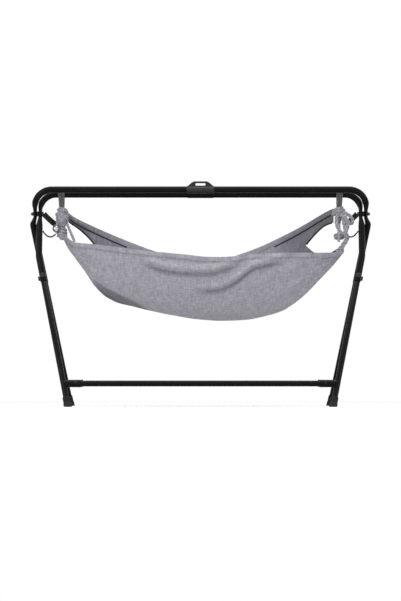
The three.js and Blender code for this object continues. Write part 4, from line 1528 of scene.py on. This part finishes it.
# The binding's windings: turns, lowest and highest height, lift off the knot, tilt and starting angle
BINDINGS = {
    "left": [(3.2, 0.654, 0.688, 0.0012, 0.003, 0.0), (1.15, 0.694, 0.702, 0.0008, -0.004, 1.2),
             (1.2, 0.722, 0.736, 0.0006, 0.014, 2.6), (1.2, 0.728, 0.720, 0.0010, -0.015, 0.4),
             (1.6, 0.750, 0.762, 0.0014, 0.003, 2.2)],
    "right": [(1.6, 0.648, 0.660, 0.0012, 0.003, 0.0), (2.1, 0.744, 0.764, 0.0014, 0.005, 2.2)],
}
BINDING_ROPE = {"left": 0.0050, "right": 0.0072}


def make_gathered_end(word):
    side = SIDES[word]
    x = side * KNOT_REACH
    slim = OPEN_BOW_GIRTH if word == "right" else 1
    rings = []
    for share in shares(KNOT_LEVELS):
        height = KNOT_FOOT + (KNOT_TOP - KNOT_FOOT) * share
        fullness = slim + (1 - slim) * smooth_share(abs(height - KNOT_WAIST), 0.030, 0.055)
        girth = KNOT_GIRTH(height) * fullness
        ring = []
        for turn in around(FINE_ROUND):
            pleat = 1 + 0.07 * math.cos(turn * 9 + height * 130) + 0.05 * math.cos(turn * 5 - height * 210)
            place = Vector((math.cos(turn) * 1.4 + side, math.sin(turn) * 1.4, height * 45))
            lump = 1 + 0.20 * noise.noise(place)
            radius = girth * pleat * lump
            ring.append(Vector((x + KNOT_HALF_WIDTH * radius * math.cos(turn),
                                HANG_DEPTH + KNOT_HALF_DEPTH * radius * math.sin(turn), height)))
        rings.append(ring)
    points, faces = joined_rings(rings)
    uvs = [(math.atan2(p.y - HANG_DEPTH, p.x - x) * 0.018, p.z) for p in points]
    core = make_piece(f"gathered_end_{word}", points, faces, GATHERED, 60, uvs=uvs)
    ride_and_replace(core, "cradle", f"cradle_knot_{word}")


def winding(side, turns, low, high, lift, tilt, start):
    corners = []
    for share in shares(round(turns * BINDING_CORNERS)):
        turn = start + share * turns * 2 * math.pi
        height = low + (high - low) * share + tilt * math.cos(turn + 0.6)
        girth = KNOT_GIRTH(height) * (1 + 0.04 * math.sin(turn * 1.7 + low * 90))
        corners.append(Vector((side * (KNOT_REACH + (KNOT_HALF_WIDTH * girth + lift) * math.cos(turn)),
                               HANG_DEPTH + (KNOT_HALF_DEPTH * girth + lift) * math.sin(turn), height)))
    return even_path(corners, BINDING_STEP)


def make_binding(word):
    paths = [winding(SIDES[word], *values) for values in BINDINGS[word]]
    if word == "right":
        for bow in OPEN_BOW:
            corners = [Vector((x, HANG_DEPTH + ahead, height)) for x, ahead, height in bow]
            paths.append(even_path(corners, BINDING_STEP))
    bound = make_rope(f"knot_rope_{word}", paths, BINDING_ROPE[word])
    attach(bound, "cradle")


# A dark bight of rope on the left knot's face, where the stay is tied in
def make_left_bow():
    corners = []
    for share in shares(32):
        turn = 2 * math.pi * share * 0.93
        corners.append(Vector((-KNOT_REACH - (0.0190 - 0.0135 * math.cos(turn)),
                               HANG_DEPTH - KNOT_HALF_DEPTH * 0.86 - 0.004 * math.sin(turn),
                               0.684 + 0.0130 * math.sin(turn))))
    bow = make_rope("knot_bow_left", [even_path(corners, 0.002)], 0.0034, LOOPED)
    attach(bow, "cradle")


# The doubled ropes that hang each knot from the bar
HANG_ROPE = 0.0031
HANG_GAP = 0.0030
HANG_SPACING = 0.013
HANG_FOOT_DEPTH = 0.0060
OVER_BAR = TUBE + SLIP + 0.0034


def make_hang_loop(word, number, shift):
    side = SIDES[word]
    paths = []
    for spread_out in (-HANG_GAP, HANG_GAP):
        at_bar = side * LOOP_REACH + shift * HANG_SPACING + spread_out
        at_knot = side * KNOT_REACH + (shift * HANG_SPACING + spread_out) * 0.7

        def beside(share, way):
            depth = HANG_FOOT_DEPTH + (OVER_BAR - HANG_FOOT_DEPTH) * share ** 0.8
            return Vector((at_knot + (at_bar - at_knot) * share, HANG_DEPTH + way * depth,
                           LOOP_FOOT + (INNER_BAR_HEIGHT - LOOP_FOOT) * share))

        climb = (0, 0.3, 0.62, 0.88)
        corners = [beside(share, -1) for share in climb]
        for share in shares(8):
            turn = math.pi * (1 - share)
            corners.append(Vector((at_bar, HANG_DEPTH + OVER_BAR * math.cos(turn),
                                   INNER_BAR_HEIGHT + OVER_BAR * math.sin(turn))))
        corners += [beside(share, 1) for share in reversed(climb)]
        paths.append(even_path(corners, 0.0016))
    loop = make_rope(f"rope_loop_{word}_{number}", paths, HANG_ROPE, LOOPED)
    ride_and_replace(loop, "cradle", f"cradle_loop_{word}_{number}")


# Webbing strap from the pivot to the knot, with folded ends, bar tacks and a ring
STRAP_HALF_WIDTH = 0.0110
STRAP_HALF_THICKNESS = 0.0010
FOLDED_HALF_THICKNESS = 0.0015
STRAP_SAG = 0.0022
STRAP_SECTION = [(-1, -0.93), (-0.6, -1), (0.6, -1), (1, -0.93), (1, -0.4), (1, 0.4), (1, 0.93), (0.6, 1),
                 (-0.6, 1), (-1, 0.93), (-1, 0.4), (-1, -0.4)]
TACK_SHARES = (0.20, 0.66, 0.72)
TACK_HEIGHTS = (-0.0095, -0.005, 0, 0.005, 0.0095)
RING = 0.0068
RING_WIRE = 0.0012
RING_FACETS = 28
WIRE_FACETS = 10


def make_stay_strap(word):
    side = SIDES[word]
    start = Vector((side * (INNER_PIVOT - 0.0138), 0, PIVOT_HEIGHT - SLIP))
    end = Vector((side * STAY_REACH, HANG_DEPTH, KNOT_HEIGHT))
    path = even_path(sagging_line(start, end, STRAP_SAG, 8), 0.0015)
    tangents = path_tangents(path)
    rings = []
    uvs = []
    run = 0.0
    for i, (point, tangent) in enumerate(zip(path, tangents)):
        up = Vector((0, 0, 1))
        up = (up - tangent * up.dot(tangent)).normalized()
        across = tangent.cross(up).normalized()
        folded = i > len(path) * 0.70 or i < len(path) * 0.16
        half = FOLDED_HALF_THICKNESS if folded else STRAP_HALF_THICKNESS
        run += (point - path[i - 1]).length if i else 0
        ring = []
        for across_share, up_share in STRAP_SECTION:
            ring.append(point + across * (half * across_share) + up * (STRAP_HALF_WIDTH * up_share))
            uvs.append((run, STRAP_HALF_WIDTH * up_share))
        rings.append(ring)
    points, faces = joined_rings(rings)
    strap = make_piece(f"webbing_stay_{word}", points, faces, WEBBING, 35, uvs=uvs)
    ride_and_replace(strap, "inner_stand", f"stay_strap_{word}")
    make_tacks(word, path, tangents)
    make_ring(word, path[-1] - tangents[-1] * 0.0035 + Vector((0, 0, -0.0165)))


def make_tacks(word, path, tangents):
    lines = []
    for share in TACK_SHARES:
        k = round(share * (len(path) - 1))
        across = tangents[k].cross(Vector((0, 0, 1))).normalized()
        for way in (-1, 1):
            lift = across * (way * (FOLDED_HALF_THICKNESS + 0.0002))
            lines.append([path[k] + lift + Vector((0, 0, height)) for height in TACK_HEIGHTS])
    tacks = make_seam(f"strap_tacks_{word}", lines, BLACK_SEWN, 0.0026)
    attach(tacks, "inner_stand")


def make_ring(word, middle):
    side = SIDES[word]
    facing = Vector((0.7 * side, 0.7, 0)).normalized()
    rings = []
    for turn in around(RING_FACETS):
        out = Vector((math.cos(turn) * 0.7, math.cos(turn) * -0.7 * side, math.sin(turn))).normalized()
        over = facing.cross(out).cross(out).normalized()
        wire = []
        for way in around(WIRE_FACETS):
            wire.append(middle + out * (RING + RING_WIRE * math.cos(way))
                        + over * (RING_WIRE * math.sin(way)))
        rings.append(wire)
    points, faces = joined_rings(rings, closed=True)
    ring = make_piece(f"stay_ring_{word}", points, faces, MOULDED, 60)
    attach(ring, "inner_stand")


for word in SIDES:
    make_gathered_end(word)
    make_binding(word)
    if word == "left":
        make_left_bow()
    make_hang_loop(word, 1, -0.5)
    make_hang_loop(word, 2, 0.5)
    make_stay_strap(word)


# Floor and light. The floor looks white to the camera and still shows the shadow.
FLOOR_PAINT = (0.80, 0.80, 0.80, 1)
FLOOR_GLOW = 0.34
WORLD_LIGHT = 0.55
WORLD_WHITE = (1, 1, 1, 1)


def make_floor():
    mesh = bpy.data.meshes.new("floor")
    corners = [(-FLOOR_HALF, -FLOOR_HALF, 0), (FLOOR_HALF, -FLOOR_HALF, 0), (FLOOR_HALF, FLOOR_HALF, 0),
               (-FLOOR_HALF, FLOOR_HALF, 0)]
    mesh.from_pydata(corners, [], [(0, 1, 2, 3)])
    material = bpy.data.materials.new("studio_floor")
    material.use_nodes = True
    tree = material.node_tree
    tree.nodes.clear()
    paint = add_node(tree, "ShaderNodeBsdfDiffuse", Color=FLOOR_PAINT)
    path = tree.nodes.new("ShaderNodeLightPath")
    strength = math_node(tree, "MULTIPLY", path.outputs["Is Camera Ray"], FLOOR_GLOW)
    glow = add_node(tree, "ShaderNodeEmission", Strength=strength)
    both = tree.nodes.new("ShaderNodeAddShader")
    link_or_set(tree, both.inputs[0], paint.outputs[0])
    link_or_set(tree, both.inputs[1], glow.outputs[0])
    add_node(tree, "ShaderNodeOutputMaterial", Surface=both.outputs[0])
    mesh.materials.append(material)
    linked_piece("floor", mesh)


def make_world():
    world = bpy.data.worlds.new("studio")
    scene.world = world
    world.use_nodes = True
    tree = world.node_tree
    path = tree.nodes.new("ShaderNodeLightPath")
    seen = math_node(tree, "MAXIMUM", path.outputs["Is Camera Ray"], path.outputs["Is Glossy Ray"])
    seen = math_node(tree, "MAXIMUM", seen, path.outputs["Is Transmission Ray"])
    strength = math_node(tree, "MULTIPLY_ADD", seen, 1 - WORLD_LIGHT, WORLD_LIGHT)
    feed(tree, tree.nodes["Background"], Color=WORLD_WHITE, Strength=strength)


def add_lamp(name, place, width, height, power):
    data = bpy.data.lights.new(name, "AREA")
    data.shape = "RECTANGLE"
    data.size = width
    data.size_y = height
    data.energy = power
    lamp = linked_piece(name, data)
    lamp.location = place
    lamp.rotation_euler = (LAMP_AIM - Vector(place)).to_track_quat("-Z", "Y").to_euler()


make_floor()
make_world()
add_lamp("top_softbox", (0.0, -0.6, 3.2), 2.6, 1.4, 46)
add_lamp("left_softbox", (-3.0, -3.2, 2.2), 1.2, 1.8, 42)
add_lamp("right_softbox", (3.2, -2.8, 1.8), 1.0, 1.6, 20)
